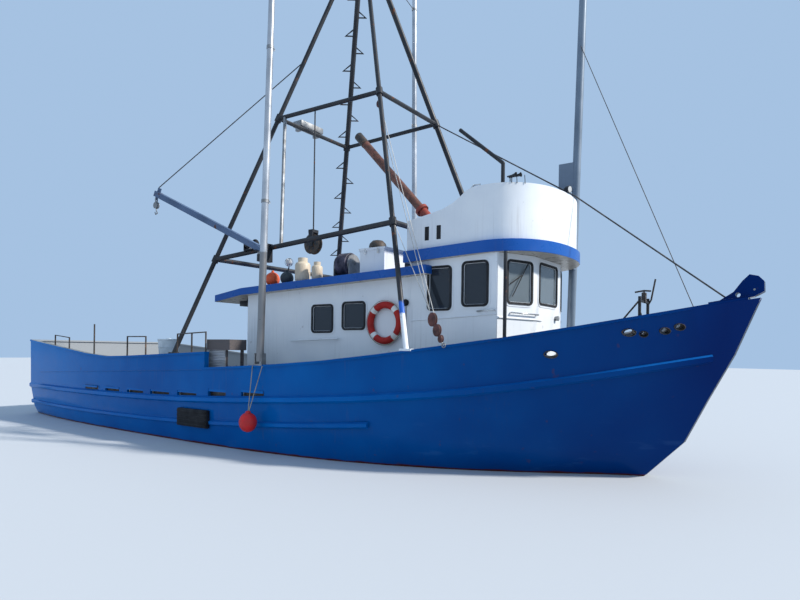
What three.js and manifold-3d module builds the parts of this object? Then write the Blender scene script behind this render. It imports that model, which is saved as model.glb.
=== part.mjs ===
// Steel fishing trawler of 17.7 m, in millimetres: +X to the bow, +Y to port, +Z up.
// The origin is on the centreline amidships, at the waterline.
import * as THREE from 'three';
import { mergeVertices } from 'three/addons/utils/BufferGeometryUtils.js';
import Module from 'manifold-3d';

const wasm = await Module();
wasm.setup();

// Driving dimensions
const SEAT = 0.3;             // gap left between two touching pieces
const TRANSOM_X = -8850;
const STEM_X = 8850;
const RAKE_START = 0.55;      // share of the length where the sections start to rake
const KEEL_HALF = 120;
const DECK_ABOVE_RAIL = 40;
const PLATE = 60;             // bulwark thickness
const STEP_X = -450;          // the after bulwark drops to the fore bulwark here
const HOUSE_HALF = 1400;
const HOUSE_WALL = 60;
const HOUSE_AFT = -590;
const HOUSE_FORE = 3700;      // deckhouse ends, wheelhouse starts
const BROW_SLOPE = 0.035;     // rise of the brow toward the bow
const ROOF_HALF = 1600;
const ROOF_AFT = -1466;
const ROOF_FORE = 4150;
const ROOF_TOP_Z = 3257;      // deckhouse roof top at X = 0
const ROOF_SLOPE = 0.0375;
const ROOF_DROOP = 0.1;       // slope of the roof behind the house
const FASCIA = 150;
const FACET_X = 5385;         // where the wheelhouse side turns into its front
const FRONT_X = 5680;
const FRONT_HALF = 580;
const BROW_HALF = 1500;
const BROW_AFT = 3600;
const BROW_FRONT = 6090;
const BROW_TOP_Z = 3562;      // at X = 0, so that it is 3.72 m over the wheelhouse
const BROW_THICK = 200;
const GANTRY_FOOT_Y = 2500;
const GANTRY_AFT_X = -1640;
const GANTRY_FORE_X = 4200;
const APEX = new THREE.Vector3(1338, 0, 11060);
const UPPER_FRAME_Z = 6900;
const LOWER_FRAME_Z = 3840;   // at its after end
const LOWER_FRAME_RISE = 0.078;
const POLE_X = 1120;
const POLE_Y = 2545;
const POLE_LENGTH = 12400;
const POLE_R = 70;
const POLE_LEAN = 1.4;        // degrees inboard
const BOOM_HEEL = new THREE.Vector3(570, -2060, 3815);
const BOOM_LENGTH = 3570;
const BOOM_RISE = 24.7;       // degrees over the horizon at rest
const BOOM_SLEW = 4.4;        // degrees outboard of straight aft at rest
const SHAFT_Z = -1230;
const PROPELLER_X = -7330;
const PROPELLER_R = 560;
const RUDDER_X = -8080;

// Colours
const HULL_BLUE = 0x0d3f8f;
const TRIM_BLUE = 0x1237a8;
const HOUSE_WHITE = 0xe9edf0;
const PIPE_BLACK = 0x1c1e20;
const POLE_GREY = 0xb3b6b8;
const STEEL_GREY = 0x8b9094;
const BOOM_GREY = 0x75828c;
const RUST_BROWN = 0x6b4030;
const ORANGE = 0xc8401c;
const BEIGE = 0xc9b897;
const BRONZE = 0x9a7838;
const WOOD_BROWN = 0x77593c;
const RED = 0xb02218;

const group = new THREE.Group();

// A closed three.js geometry as a solid.
function solid(geometry) {
  const bare = geometry.clone();
  bare.deleteAttribute('normal');
  bare.deleteAttribute('uv');
  const merged = mergeVertices(bare, 1e-3);
  const mesh = new wasm.Mesh({
    numProp: 3,
    vertProperties: merged.attributes.position.array,
    triVerts: new Uint32Array(merged.index.array),
  });
  return new wasm.Manifold(mesh);
}

// Adds one named sub-part to the boat.
function addPart(name, shape, colour, roughness = 0.5, metalness = 0.1) {
  const mesh = shape.getMesh();
  const geometry = new THREE.BufferGeometry();
  geometry.setAttribute('position', new THREE.BufferAttribute(mesh.vertProperties, 3));
  geometry.setIndex(new THREE.BufferAttribute(mesh.triVerts, 1));
  geometry.computeVertexNormals();
  const material = new THREE.MeshStandardMaterial({ color: colour, roughness, metalness });
  const part = new THREE.Mesh(geometry, material);
  part.name = name;
  group.add(part);
  return shape;
}

// A box from its limits.
function block(x0, x1, y0, y1, z0, z1) {
  const geometry = new THREE.BoxGeometry(x1 - x0, y1 - y0, z1 - z0);
  geometry.translate((x0 + x1) / 2, (y0 + y1) / 2, (z0 + z1) / 2);
  return solid(geometry);
}

// A round bar between two points.
function bar(from, to, radius, sides = 12, endRadius = radius) {
  const along = new THREE.Vector3().subVectors(to, from);
  const geometry = new THREE.CylinderGeometry(endRadius, radius, along.length(), sides);
  geometry.translate(0, along.length() / 2, 0);
  const turn = new THREE.Quaternion().setFromUnitVectors(new THREE.Vector3(0, 1, 0), along.normalize());
  geometry.applyQuaternion(turn);
  geometry.translate(from.x, from.y, from.z);
  return solid(geometry);
}

function at(x, y, z) {
  return new THREE.Vector3(x, y, z);
}

// A bent bar: straight stretches with a ball at each bend.
function bentBar(points, radius, sides = 10) {
  let shape = bar(points[0], points[1], radius, sides);
  for (let i = 1; i < points.length - 1; i += 1) {
    const ball = new THREE.IcosahedronGeometry(radius * 1.04, radius > 20 ? 1 : 0);
    ball.translate(points[i].x, points[i].y, points[i].z);
    shape = shape.add(solid(ball));
    shape = shape.add(bar(points[i], points[i + 1], radius, sides));
  }
  return shape;
}

// A disc or drum along an axis, from a half profile [[along, radius], ...].
function lathe(profile, centre, axis, sides = 24) {
  const outline = profile.map(([along, radius]) => new THREE.Vector2(radius, along));
  const geometry = new THREE.LatheGeometry(outline, sides);
  const turn = new THREE.Quaternion().setFromUnitVectors(new THREE.Vector3(0, 1, 0), axis);
  geometry.applyQuaternion(turn);
  geometry.translate(centre.x, centre.y, centre.z);
  return upright(solid(geometry), geometry);
}

// A lathed geometry can come inside out, depending on which way its profile runs.
function upright(shape, geometry) {
  if (shape.volume() > 0) {
    return shape;
  }
  const index = geometry.index.array;
  for (let i = 0; i < index.length; i += 3) {
    [index[i], index[i + 1]] = [index[i + 1], index[i]];
  }
  return solid(geometry);
}

// A shape drawn in plan, [[x, y], ...], between two heights.
function planPlate(outline, z0, z1) {
  const shape = new THREE.Shape(outline.map(([x, y]) => new THREE.Vector2(x, y)));
  const geometry = new THREE.ExtrudeGeometry(shape, { depth: z1 - z0, bevelEnabled: false });
  geometry.translate(0, 0, z0);
  return solid(geometry);
}

// A shape drawn from the side, [[x, z], ...], between two breadths.
function sidePlate(outline, y0, y1) {
  const shape = new THREE.Shape(outline.map(([x, z]) => new THREE.Vector2(x, z)));
  const geometry = new THREE.ExtrudeGeometry(shape, { depth: y1 - y0, bevelEnabled: false });
  geometry.rotateX(Math.PI / 2);
  geometry.translate(0, y1, 0);
  return solid(geometry);
}

// Joins a list of solids.
function union(shapes) {
  return shapes.reduce((sum, shape) => sum.add(shape));
}

// A smooth value between the rows [[key, value], ...] of a table.
function ramp(rows, key, column = 1) {
  const last = rows.length - 1;
  if (key <= rows[0][0]) {
    return rows[0][column];
  }
  if (key >= rows[last][0]) {
    return rows[last][column];
  }
  const i = rows.findIndex((row) => row[0] > key) - 1;
  const slope = (a, b) => (rows[b][column] - rows[a][column]) / (rows[b][0] - rows[a][0]);
  const width = rows[i + 1][0] - rows[i][0];
  const t = (key - rows[i][0]) / width;
  const here = slope(Math.max(i - 1, 0), i + 1) * width;
  const next = slope(i, Math.min(i + 2, last)) * width;
  const start = rows[i][column];
  const end = rows[i + 1][column];
  const t2 = t * t;
  const t3 = t2 * t;
  return (2 * t3 - 3 * t2 + 1) * start + (t3 - 2 * t2 + t) * here
    + (3 * t2 - 2 * t3) * end + (t3 - t2) * next;
}

// Hull form
// One row a station: share of the length, half-breadths at sheer, rail, waterline and bilge,
// bilge height and keel height.
const STATIONS = [
  [0.000, 2250, 2230, 2020, 1500, -150, -180],
  [0.076, 2380, 2370, 2240, 1700, -320, -460],
  [0.161, 2500, 2490, 2400, 1880, -620, -900],
  [0.274, 2580, 2570, 2500, 1990, -900, -1300],
  [0.387, 2600, 2600, 2540, 2020, -1080, -1520],
  [0.500, 2600, 2600, 2530, 1950, -1180, -1620],
  [0.585, 2570, 2560, 2440, 1760, -1200, -1680],
  [0.669, 2450, 2430, 2200, 1400, -1200, -1720],
  [0.737, 2250, 2210, 1880, 1020, -1180, -1740],
  [0.794, 1980, 1920, 1540, 700, -1140, -1750],
  [0.850, 1620, 1540, 1140, 430, -1080, -1740],
  [0.907, 1150, 1060, 700, 260, -1000, -1700],
  [0.963, 550, 480, 270, 150, -900, -1600],
  [1.000, 90, 85, 80, 75, -850, -1500],
];
const TOP_HALF = 1;
const RAIL_HALF = 2;
const WATER_HALF = 3;
const BILGE_HALF = 4;
const BILGE_Z = 5;
const KEEL_Z = 6;
// Stem profile: height, distance forward of amidships.
const STEM_LINE = [
  [-1500, 5750], [-850, 6570], [0, 7360], [510, 7880], [1290, 8270], [2050, 8650], [2780, 8930],
];
// Rub rail, after bulwark top and fore bulwark top: distance forward, height.
const RAIL_LINE = [
  [-8850, 815], [-5400, 820], [-1500, 870], [1500, 1010], [3600, 1155], [5400, 1345],
  [7500, 1720], [8850, 2010],
];
const AFTER_TOP = [[-8850, 2080], [-6000, 1825], [-4300, 1690], [-2500, 1750], [-450, 1840]];
const FORE_TOP = [[-450, 1525], [1400, 1630], [3000, 1765], [4200, 1925], [5700, 2140],
  [7300, 2440], [8850, 2780]];
const LOWER_RAIL_DROP = 460;

function railHeight(x) {
  return ramp(RAIL_LINE, x);
}

function deckHeight(x) {
  return railHeight(x) + DECK_ABOVE_RAIL;
}

// Place along the boat of a station at a height, with the rake of the stem.
function stationX(u, z, inset = 0) {
  const share = Math.max(0, (u - RAKE_START) / (1 - RAKE_START)) ** 2;
  const stem = ramp(STEM_LINE, z) - inset * 2.5;
  const aft = TRANSOM_X + inset;
  return aft + (STEM_X - inset * 2.5 - aft) * u - share * (STEM_X - inset * 2.5 - stem);
}

function railAt(u) {
  const first = railHeight(stationX(u, 1000));
  return railHeight(stationX(u, first));
}

function halfAt(u, column, inset) {
  return Math.max(ramp(STATIONS, u, column) - inset, 12);
}

// One side of a section, from the keel up, as points (half-breadth, height).
function sectionSide(u, inset, topHeight, rise) {
  const rail = railAt(u);
  const curve = new THREE.CatmullRomCurve3([
    new THREE.Vector3(Math.min(KEEL_HALF, halfAt(u, BILGE_HALF, inset)), ramp(STATIONS, u, KEEL_Z), 0),
    new THREE.Vector3(halfAt(u, BILGE_HALF, inset), ramp(STATIONS, u, BILGE_Z), 0),
    new THREE.Vector3(halfAt(u, WATER_HALF, inset), 0, 0),
    new THREE.Vector3(halfAt(u, RAIL_HALF, inset), rail, 0),
  ]);
  const side = curve.getPoints(9).map((point) => [point.x, point.y]);
  const flare = (ramp(STATIONS, u, TOP_HALF) - ramp(STATIONS, u, RAIL_HALF)) / (topHeight - rail);
  side.push([halfAt(u, TOP_HALF, inset) + flare * rise, topHeight + rise]);
  return side;
}

// A closed skin over rings of points, its ends closed from their centres.
function skin(rings) {
  const count = rings[0].length;
  const position = [];
  const index = [];
  rings.forEach((ring) => ring.forEach((point) => position.push(...point)));
  for (let i = 0; i + 1 < rings.length; i += 1) {
    for (let k = 0; k < count; k += 1) {
      const a = i * count + k;
      const b = i * count + ((k + 1) % count);
      index.push(a, b, a + count, b, b + count, a + count);
    }
  }
  [0, rings.length - 1].forEach((end, which) => {
    const centre = position.length / 3;
    const ring = rings[end];
    const middle = [0, 1, 2].map((axis) => ring.reduce((sum, point) => sum + point[axis], 0) / count);
    position.push(...middle);
    for (let k = 0; k < count; k += 1) {
      const a = end * count + k;
      const b = end * count + ((k + 1) % count);
      index.push(...(which === 0 ? [centre, b, a] : [centre, a, b]));
    }
  });
  const geometry = new THREE.BufferGeometry();
  geometry.setAttribute('position', new THREE.Float32BufferAttribute(position, 3));
  geometry.setIndex(index);
  return upright(solid(geometry), geometry);
}

// The hull form up to its bulwark top, moved in by the inset and raised over the top by the rise.
function hullForm(inset, rise) {
  const stepU = (STEP_X - TRANSOM_X) / (STEM_X - TRANSOM_X);
  const shares = [0, 0.05, 0.10, 0.16, 0.23, 0.31, 0.39, stepU - 0.002, stepU + 0.002, 0.55, 0.62,
    0.67, 0.72, 0.765, 0.805, 0.84, 0.872, 0.903, 0.932, 0.957, 0.98, 1];
  const rings = shares.map((u) => {
    const x = TRANSOM_X + (STEM_X - TRANSOM_X) * u;
    const top = u < stepU ? ramp(AFTER_TOP, x) : ramp(FORE_TOP, x);
    const side = sectionSide(u, inset, top, rise);
    const starboard = side.map(([half, z]) => [stationX(u, z, inset), -half, z]);
    const port = side.map(([half, z]) => [stationX(u, z, inset), half, z]).reverse();
    return [...starboard, ...port];
  });
  return skin(rings);
}

// Everything below the deck line, or below that line moved up.
function belowDeck(lift) {
  const outline = [[-9500, -4000], [9500, -4000]];
  for (let x = 9500; x >= -9500; x -= 1000) {
    outline.push([x, deckHeight(x) + lift]);
  }
  return sidePlate(outline, -4000, 4000);
}

// Hull below the deck, with the keel, skeg, rudder shoe and shaft tube.
const KEEL_BOTTOM = -2060;
const SHAFT_BORE = 40.8;
const SHAFT_R = 40;
const TUBE_END_X = PROPELLER_X + 260;
const SHOE_END_X = RUDDER_X - 140;
const SHOE_TOP = KEEL_BOTTOM + 130;
const RUDDER_STOCK_R = 45;
const RUDDER_BORE = 45.8;
const RUDDER_TOP = -520;

function makeHull(form) {
  const keel = sidePlate([
    [SHOE_END_X, KEEL_BOTTOM], [4900, KEEL_BOTTOM], [5900, -1450], [5600, -1400], [-6300, -900],
    [-6500, -900], [TUBE_END_X + 60, SHAFT_Z - 500], [TUBE_END_X + 60, SHOE_TOP],
    [SHOE_END_X, SHOE_TOP],
  ], -110, 110);
  const tube = bar(at(-5600, 0, SHAFT_Z), at(TUBE_END_X, 0, SHAFT_Z), 130, 16);
  const bore = bar(at(TUBE_END_X + 400 + SEAT, 0, SHAFT_Z), at(TUBE_END_X - 20, 0, SHAFT_Z), SHAFT_BORE, 24);
  const deadwood = sidePlate([[-7000, SHAFT_Z - 120], [-5200, SHAFT_Z - 520], [-4200, -1300],
    [-5200, -900], [-6900, -450]], -110, 110);
  const stockHole = bar(at(RUDDER_X, 0, KEEL_BOTTOM + 20 - SEAT), at(RUDDER_X, 0, 100), RUDDER_BORE, 24);
  const trunk = bar(at(RUDDER_X, 0, RUDDER_TOP + 10), at(RUDDER_X, 0, 60), 110, 16);
  return form.intersect(belowDeck(0)).add(keel).add(tube).add(deadwood).add(trunk)
    .subtract(bore).subtract(stockHole);
}

const outer = hullForm(0, 0);
const hull = addPart('hull', makeHull(outer), HULL_BLUE, 0.35, 0.1);

// Bulwarks with their cap rails, freeing ports and mooring holes, one each side.
// Freeing ports: first and last X, height.
const FREEING_PORTS = [
  [-5240, -4580, 110], [-4240, -3610, 110], [-3270, -2610, 110], [-2340, -1630, 110],
  [-1350, -700, 110], [-330, 210, 150], [650, 1260, 120],
];
// Mooring holes: X, height over the water, half length, half height.
const MOORING_HOLES = [[6330, 1915, 95, 55], [7340, 2255, 95, 55], [7520, 2235, 60, 45],
  [7780, 2285, 75, 50], [7960, 2345, 75, 50]];

function capStrip(side, table, x0, x1) {
  const rings = [];
  const steps = 9;
  for (let i = 0; i <= steps; i += 1) {
    const x = x0 + ((x1 - x0) * i) / steps;
    const u = (x - TRANSOM_X) / (STEM_X - TRANSOM_X);
    const half = ramp(STATIONS, u, TOP_HALF);
    const z = ramp(table, x);
    rings.push([[x, side * (half + 22), z - 22], [x, side * (half + 22), z + 22],
      [x, side * Math.max(half - 95, 2), z + 22], [x, side * Math.max(half - 95, 2), z - 22]]);
  }
  return skin(rings);
}

function makeBulwark(form, side) {
  const inner = hullForm(PLATE, 500);
  const half = side > 0 ? block(-9500, 9500, 0.2, 4000, -3000, 5000)
    : block(-9500, 9500, -4000, -0.2, -3000, 5000);
  let wall = form.subtract(belowDeck(SEAT)).subtract(inner);
  const after = ramp(AFTER_TOP, STEP_X);
  const fore = ramp(FORE_TOP, STEP_X);
  wall = wall.add(capStrip(side, AFTER_TOP, TRANSOM_X + 5, STEP_X + 25));
  wall = wall.add(capStrip(side, FORE_TOP, STEP_X - 5, STEM_X - 70));
  const stepHalf = ramp(STATIONS, 0.475, TOP_HALF);
  wall = wall.add(block(STEP_X - 2, STEP_X + 20, Math.min(side * (stepHalf - 90), side * (stepHalf + 17)),
    Math.max(side * (stepHalf - 90), side * (stepHalf + 17)), fore - 10, after + 10));
  const transomZ = ramp(AFTER_TOP, TRANSOM_X);
  wall = wall.add(block(TRANSOM_X - 20, TRANSOM_X + 95, -2250, 2250, transomZ - 22, transomZ + 22));
  FREEING_PORTS.forEach(([x0, x1, height]) => {
    const z = deckHeight((x0 + x1) / 2);
    wall = wall.subtract(block(x0, x1, side * 2600 - 300, side * 2600 + 300, z + 15, z + 15 + height));
  });
  MOORING_HOLES.forEach(([x, z, long, high]) => {
    const hole = new THREE.CylinderGeometry(1, 1, 1800, 14);
    hole.scale(long, 1, high);
    hole.translate(x, side * 1100, z);
    wall = wall.subtract(solid(hole));
  });
  return wall.intersect(half);
}

const bulwarks = [['bulwark_starboard', -1], ['bulwark_port', 1]].map(([name, side]) => (
  addPart(name, makeBulwark(outer, side), HULL_BLUE, 0.35, 0.1)));

// Rub rails: half-round bars round both sides and the transom.
function makeRubRail(drop, lastU, radius) {
  const path = [];
  for (let u = lastU; u > 0.001; u -= lastU / 16) {
    const z = railAt(u) - drop;
    const rail = ramp(STATIONS, u, RAIL_HALF);
    const water = ramp(STATIONS, u, WATER_HALF);
    const half = drop > 0 ? rail - (rail - water) * (drop / railAt(u)) ** 1.6 : rail;
    path.push(at(stationX(u, z), -half, z));
  }
  const sternZ = railAt(0) - drop;
  const sternHalf = drop > 0 ? 2180 : 2230;
  path.push(at(TRANSOM_X, -sternHalf, sternZ));
  const port = path.map((point) => at(point.x, -point.y, point.z)).reverse();
  const all = [...path, ...port];
  const rings = all.map((point, i) => {
    const ahead = all[Math.min(i + 1, all.length - 1)];
    const behind = all[Math.max(i - 1, 0)];
    const along = at(ahead.x - behind.x, ahead.y - behind.y, 0).normalize();
    const across = at(-along.y, along.x, 0);
    const ring = [];
    for (let k = 0; k < 6; k += 1) {
      const angle = (k * Math.PI) / 3 + Math.PI / 6;
      const spot = point.clone().addScaledVector(across, radius * Math.max(Math.cos(angle), -0.4));
      ring.push([spot.x, spot.y, spot.z + radius * Math.sin(angle)]);
    }
    return ring;
  });
  return skin(rings);
}

// Each side is cut back from the hull form moved a little outward.
function seatOnHull(rail) {
  const sides = [-1, 1].map((side) => {
    const half = side > 0 ? block(-9500, 9500, 0, 4000, -3000, 5000)
      : block(-9500, 9500, -4000, 0, -3000, 5000);
    return rail.intersect(half).subtract(outer.translate([-SEAT, side * SEAT * 1.7, 0]));
  });
  return union(sides);
}

addPart('rub_rail_upper', seatOnHull(makeRubRail(0, 0.985, 72)), HULL_BLUE, 0.4, 0.1);
addPart('rub_rail_lower', seatOnHull(makeRubRail(LOWER_RAIL_DROP, 0.702, 58)), HULL_BLUE, 0.4, 0.1);

// Rudder and propeller.
const RUDDER_CHORD_FORE = 190;
const RUDDER_CHORD_AFT = 620;
const RUDDER_BOTTOM = SHOE_TOP + 15;

function makeRudder() {
  const blade = planPlate([[RUDDER_X + RUDDER_CHORD_FORE, 0], [RUDDER_X + 120, 42], [RUDDER_X, 55],
    [RUDDER_X - RUDDER_CHORD_AFT, 10], [RUDDER_X - RUDDER_CHORD_AFT, -10], [RUDDER_X, -55],
    [RUDDER_X + 120, -42]], RUDDER_BOTTOM, RUDDER_TOP);
  const stock = bar(at(RUDDER_X, 0, KEEL_BOTTOM + 20), at(RUDDER_X, 0, 60), RUDDER_STOCK_R, 24);
  return blade.add(stock);
}

function makePropeller() {
  const hub = lathe([[-150, 0], [-150, 45], [-90, 85], [110, 95], [140, 80], [140, 0]],
    at(PROPELLER_X, 0, SHAFT_Z), at(1, 0, 0), 20);
  const shaft = bar(at(PROPELLER_X, 0, SHAFT_Z), at(TUBE_END_X + 400, 0, SHAFT_Z), SHAFT_R, 24);
  let propeller = hub.add(shaft);
  const blades = 4;
  for (let i = 0; i < blades; i += 1) {
    const blade = new THREE.Shape();
    blade.moveTo(60, -70);
    blade.bezierCurveTo(200, -230, 420, -250, PROPELLER_R, -60);
    blade.bezierCurveTo(PROPELLER_R + 5, 60, 420, 200, 60, 70);
    const geometry = new THREE.ExtrudeGeometry(blade, { depth: 26, bevelEnabled: false, curveSegments: 5 });
    geometry.translate(0, 0, -13);
    geometry.rotateX(0.6);
    geometry.rotateY(-Math.PI / 2);
    geometry.rotateX((i * 2 * Math.PI) / blades + Math.PI / 4);
    geometry.translate(PROPELLER_X, 0, SHAFT_Z);
    propeller = propeller.add(solid(geometry));
  }
  return propeller;
}

addPart('rudder', makeRudder(), HULL_BLUE, 0.5, 0.2);
addPart('propeller', makePropeller(), BRONZE, 0.35, 0.9);

// Deckhouse and wheelhouse: hollow shells with their windows and doorways cut.
function roofTop(x) {
  return ROOF_TOP_Z + ROOF_SLOPE * x - ROOF_DROOP * Math.max(0, HOUSE_AFT - x);
}

function browTop(x) {
  return BROW_TOP_Z + BROW_SLOPE * x;
}

const DECK_CUT = belowDeck(SEAT);
const DOOR_SILL = 160;
// Side windows of each house, both sides: first and last X, bottom and top height.
const DECKHOUSE_WINDOWS = [[1350, 1880, 2290, 2800], [2150, 2680, 2340, 2830]];
const WHEELHOUSE_WINDOWS = [[4090, 4530, 2655, 3370], [4770, 5220, 2705, 3410]];
const AFT_DOOR = { y0: 250, y1: 950, z0: 960 + DOOR_SILL, z1: 2860 };
const DOOR_THICK = 45;
const DOOR_OVERLAP = 35;
const DOOR_GAP = 8;
const HINGE_OUT = 30;
const HINGE_R = 20;
const HINGE_LONG = 120;
const HINGE_HEIGHTS = [1330, 2560];
const DOOR_AXIS = { x: HOUSE_AFT - DOOR_GAP - DOOR_THICK / 2, y: AFT_DOOR.y0 - DOOR_OVERLAP - HINGE_OUT };

// Open way between the two houses.
const INNER_DOORWAY = block(HOUSE_FORE - 200, HOUSE_FORE + 200, -350, 350, 1500, 3000);

function makeDeckhouse() {
  const end = HOUSE_FORE - SEAT;
  const outline = (inset, floor) => sidePlate([[HOUSE_AFT + inset, floor], [end - inset, floor],
    [end - inset, roofTop(end) - FASCIA - SEAT - inset * 0.7],
    [HOUSE_AFT + inset, roofTop(HOUSE_AFT) - FASCIA - SEAT - inset * 0.7]],
  -HOUSE_HALF + inset, HOUSE_HALF - inset);
  let shell = outline(0, 500).subtract(outline(HOUSE_WALL, 400)).subtract(DECK_CUT);
  DECKHOUSE_WINDOWS.forEach(([x0, x1, z0, z1]) => {
    shell = shell.subtract(block(x0, x1, -2000, 2000, z0, z1));
  });
  shell = shell.subtract(block(HOUSE_AFT - 200, HOUSE_AFT + 200, AFT_DOOR.y0, AFT_DOOR.y1,
    AFT_DOOR.z0, AFT_DOOR.z1)).subtract(INNER_DOORWAY);
  HINGE_HEIGHTS.forEach((z) => {
    shell = shell.add(block(DOOR_AXIS.x - HINGE_R, HOUSE_AFT + 5, DOOR_AXIS.y - HINGE_R,
      DOOR_AXIS.y + HINGE_R, z - 22, z - SEAT));
    shell = shell.add(bar(at(DOOR_AXIS.x, DOOR_AXIS.y, z - 10), at(DOOR_AXIS.x, DOOR_AXIS.y, z + 70), 8, 8));
  });
  return shell;
}

const WHEELHOUSE_FRONT = [[FACET_X, -HOUSE_HALF], [FRONT_X, -FRONT_HALF], [FRONT_X, FRONT_HALF],
  [FACET_X, HOUSE_HALF]];

function wheelhouseBlock(inset, floor, top) {
  const aft = HOUSE_FORE + inset;
  const outline = [[aft, -HOUSE_HALF + inset],
    ...WHEELHOUSE_FRONT.map(([x, y]) => [x - inset * 1.1, y - Math.sign(y) * inset]),
    [aft, HOUSE_HALF - inset]];
  const ceiling = sidePlate([[3000, 0], [7000, 0], [7000, browTop(7000) - BROW_THICK + top],
    [3000, browTop(3000) - BROW_THICK + top]], -3000, 3000);
  return planPlate(outline, floor, 5000).intersect(ceiling);
}

// Windows on the slanted front panes and on the middle pane, cut along their normals.
function frontWindow(from, to, share0, share1, z0, z1) {
  const along = at(to[0] - from[0], to[1] - from[1], 0);
  const width = along.length() * (share1 - share0);
  const geometry = new THREE.BoxGeometry(500, width, z1 - z0);
  const middle = (share0 + share1) / 2;
  geometry.rotateZ(Math.atan2(along.y, along.x) - Math.PI / 2);
  geometry.translate(from[0] + along.x * middle, from[1] + along.y * middle, (z0 + z1) / 2);
  return solid(geometry);
}

function makeWheelhouse() {
  let shell = wheelhouseBlock(0, 500, -SEAT).subtract(wheelhouseBlock(HOUSE_WALL, 400, -HOUSE_WALL))
    .subtract(DECK_CUT);
  WHEELHOUSE_WINDOWS.forEach(([x0, x1, z0, z1]) => {
    shell = shell.subtract(block(x0, x1, -2000, 2000, z0, z1));
  });
  const [cornerS, frontS, frontP, cornerP] = WHEELHOUSE_FRONT;
  shell = shell.subtract(frontWindow(cornerS, frontS, 0.27, 0.91, 2750, 3430));
  shell = shell.subtract(frontWindow(frontP, cornerP, 0.09, 0.73, 2750, 3430));
  shell = shell.subtract(frontWindow(frontS, frontP, 0.165, 0.835, 2780, 3460));
  return shell.subtract(INNER_DOORWAY);
}

const deckhouse = addPart('deckhouse', makeDeckhouse(), HOUSE_WHITE, 0.45, 0.05);
const wheelhouse = addPart('wheelhouse', makeWheelhouse(), HOUSE_WHITE, 0.45, 0.05);

// The after door: leaf, hinge straps, barrels and handle in one solid, closed at rest.
function makeAftDoor() {
  const x1 = HOUSE_AFT - DOOR_GAP;
  const leaf = block(x1 - DOOR_THICK, x1, AFT_DOOR.y0 - DOOR_OVERLAP, AFT_DOOR.y1 + DOOR_OVERLAP,
    AFT_DOOR.z0 - DOOR_OVERLAP, AFT_DOOR.z1 + DOOR_OVERLAP);
  const handle = block(x1 - DOOR_THICK - 60, x1 - DOOR_THICK + 5, AFT_DOOR.y1 - 90, AFT_DOOR.y1 - 60,
    1880, 2040);
  const hinges = HINGE_HEIGHTS.map((z) => bar(at(DOOR_AXIS.x, DOOR_AXIS.y, z),
    at(DOOR_AXIS.x, DOOR_AXIS.y, z + HINGE_LONG), HINGE_R));
  const straps = HINGE_HEIGHTS.map((z) => block(DOOR_AXIS.x - 6, DOOR_AXIS.x + 6, DOOR_AXIS.y,
    AFT_DOOR.y0, z + 10, z + HINGE_LONG - 10));
  const bores = HINGE_HEIGHTS.map((z) => bar(at(DOOR_AXIS.x, DOOR_AXIS.y, z - 5),
    at(DOOR_AXIS.x, DOOR_AXIS.y, z + 80), 9.2, 8));
  return union([leaf, handle, ...hinges, ...straps]).subtract(union(bores));
}

addPart('deckhouse_door', makeAftDoor(), HOUSE_WHITE, 0.45, 0.05);

// Deckhouse roof with its fascia.
function makeDeckhouseRoof() {
  const stations = [ROOF_AFT, HOUSE_AFT, ROOF_FORE];
  const slab = sidePlate([...stations.map((x) => [x, roofTop(x) - FASCIA]),
    ...[...stations].reverse().map((x) => [x, roofTop(x)])], -ROOF_HALF, ROOF_HALF);
  return slab.subtract(block(HOUSE_FORE - SEAT, 9000, -HOUSE_HALF - SEAT, HOUSE_HALF + SEAT, 0, 9000));
}

addPart('deckhouse_roof', makeDeckhouseRoof(), TRIM_BLUE, 0.4, 0.1);

// Brow over the wheelhouse and the coaming of the flying bridge, both rounded at the front.
function roundedFront(half, aft, front, shoulder) {
  const shape = new THREE.Shape();
  shape.moveTo(aft, -half);
  shape.lineTo(front - shoulder, -half);
  shape.bezierCurveTo(front - shoulder * 0.35, -half, front, -half * 0.62, front, 0);
  shape.bezierCurveTo(front, half * 0.62, front - shoulder * 0.35, half, front - shoulder, half);
  shape.lineTo(aft, half);
  return shape;
}

function roundedBlock(half, aft, front, shoulder, z0, z1) {
  const geometry = new THREE.ExtrudeGeometry(roundedFront(half, aft, front, shoulder),
    { depth: z1 - z0, bevelEnabled: false, curveSegments: 12 });
  geometry.translate(0, 0, z0);
  return solid(geometry);
}

const BROW_SHOULDER = 1060;
const COAMING_HALF = 1420;
const COAMING_FRONT = 6035;
// Coaming top, from the side: distance forward, height.
const COAMING_TOP = [[3600, 4225], [4040, 4295], [4350, 4353], [4553, 4432], [4710, 4531], [4806, 4605],
  [4941, 4650], [5300, 4672], [6200, 4690]];

function makeBrow() {
  const slab = sidePlate([[3000, browTop(3000) - BROW_THICK], [7000, browTop(7000) - BROW_THICK],
    [7000, browTop(7000)], [3000, browTop(3000)]], -3000, 3000);
  return roundedBlock(BROW_HALF, BROW_AFT, BROW_FRONT, BROW_SHOULDER, 3000, 4500).intersect(slab);
}

function makeCoaming() {
  const outside = roundedBlock(COAMING_HALF, BROW_AFT + 30, COAMING_FRONT, BROW_SHOULDER, 3000, 5000);
  const inside = roundedBlock(COAMING_HALF - 50, BROW_AFT - 300, COAMING_FRONT - 50, BROW_SHOULDER,
    3000, 5000);
  const outline = [[7000, browTop(7000) + SEAT], [3000, browTop(3000) + SEAT]];
  COAMING_TOP.forEach(([x, z]) => outline.push([x, z]));
  outline.push([7000, 4690]);
  let wall = outside.subtract(inside).intersect(sidePlate(outline.reverse(), -3000, 3000));
  [[4000, 4090], [4240, 4330]].forEach(([x0, x1]) => {
    wall = wall.subtract(block(x0, x1, -2000, -1000, 3850, 4090));
  });
  return wall;
}

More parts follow.
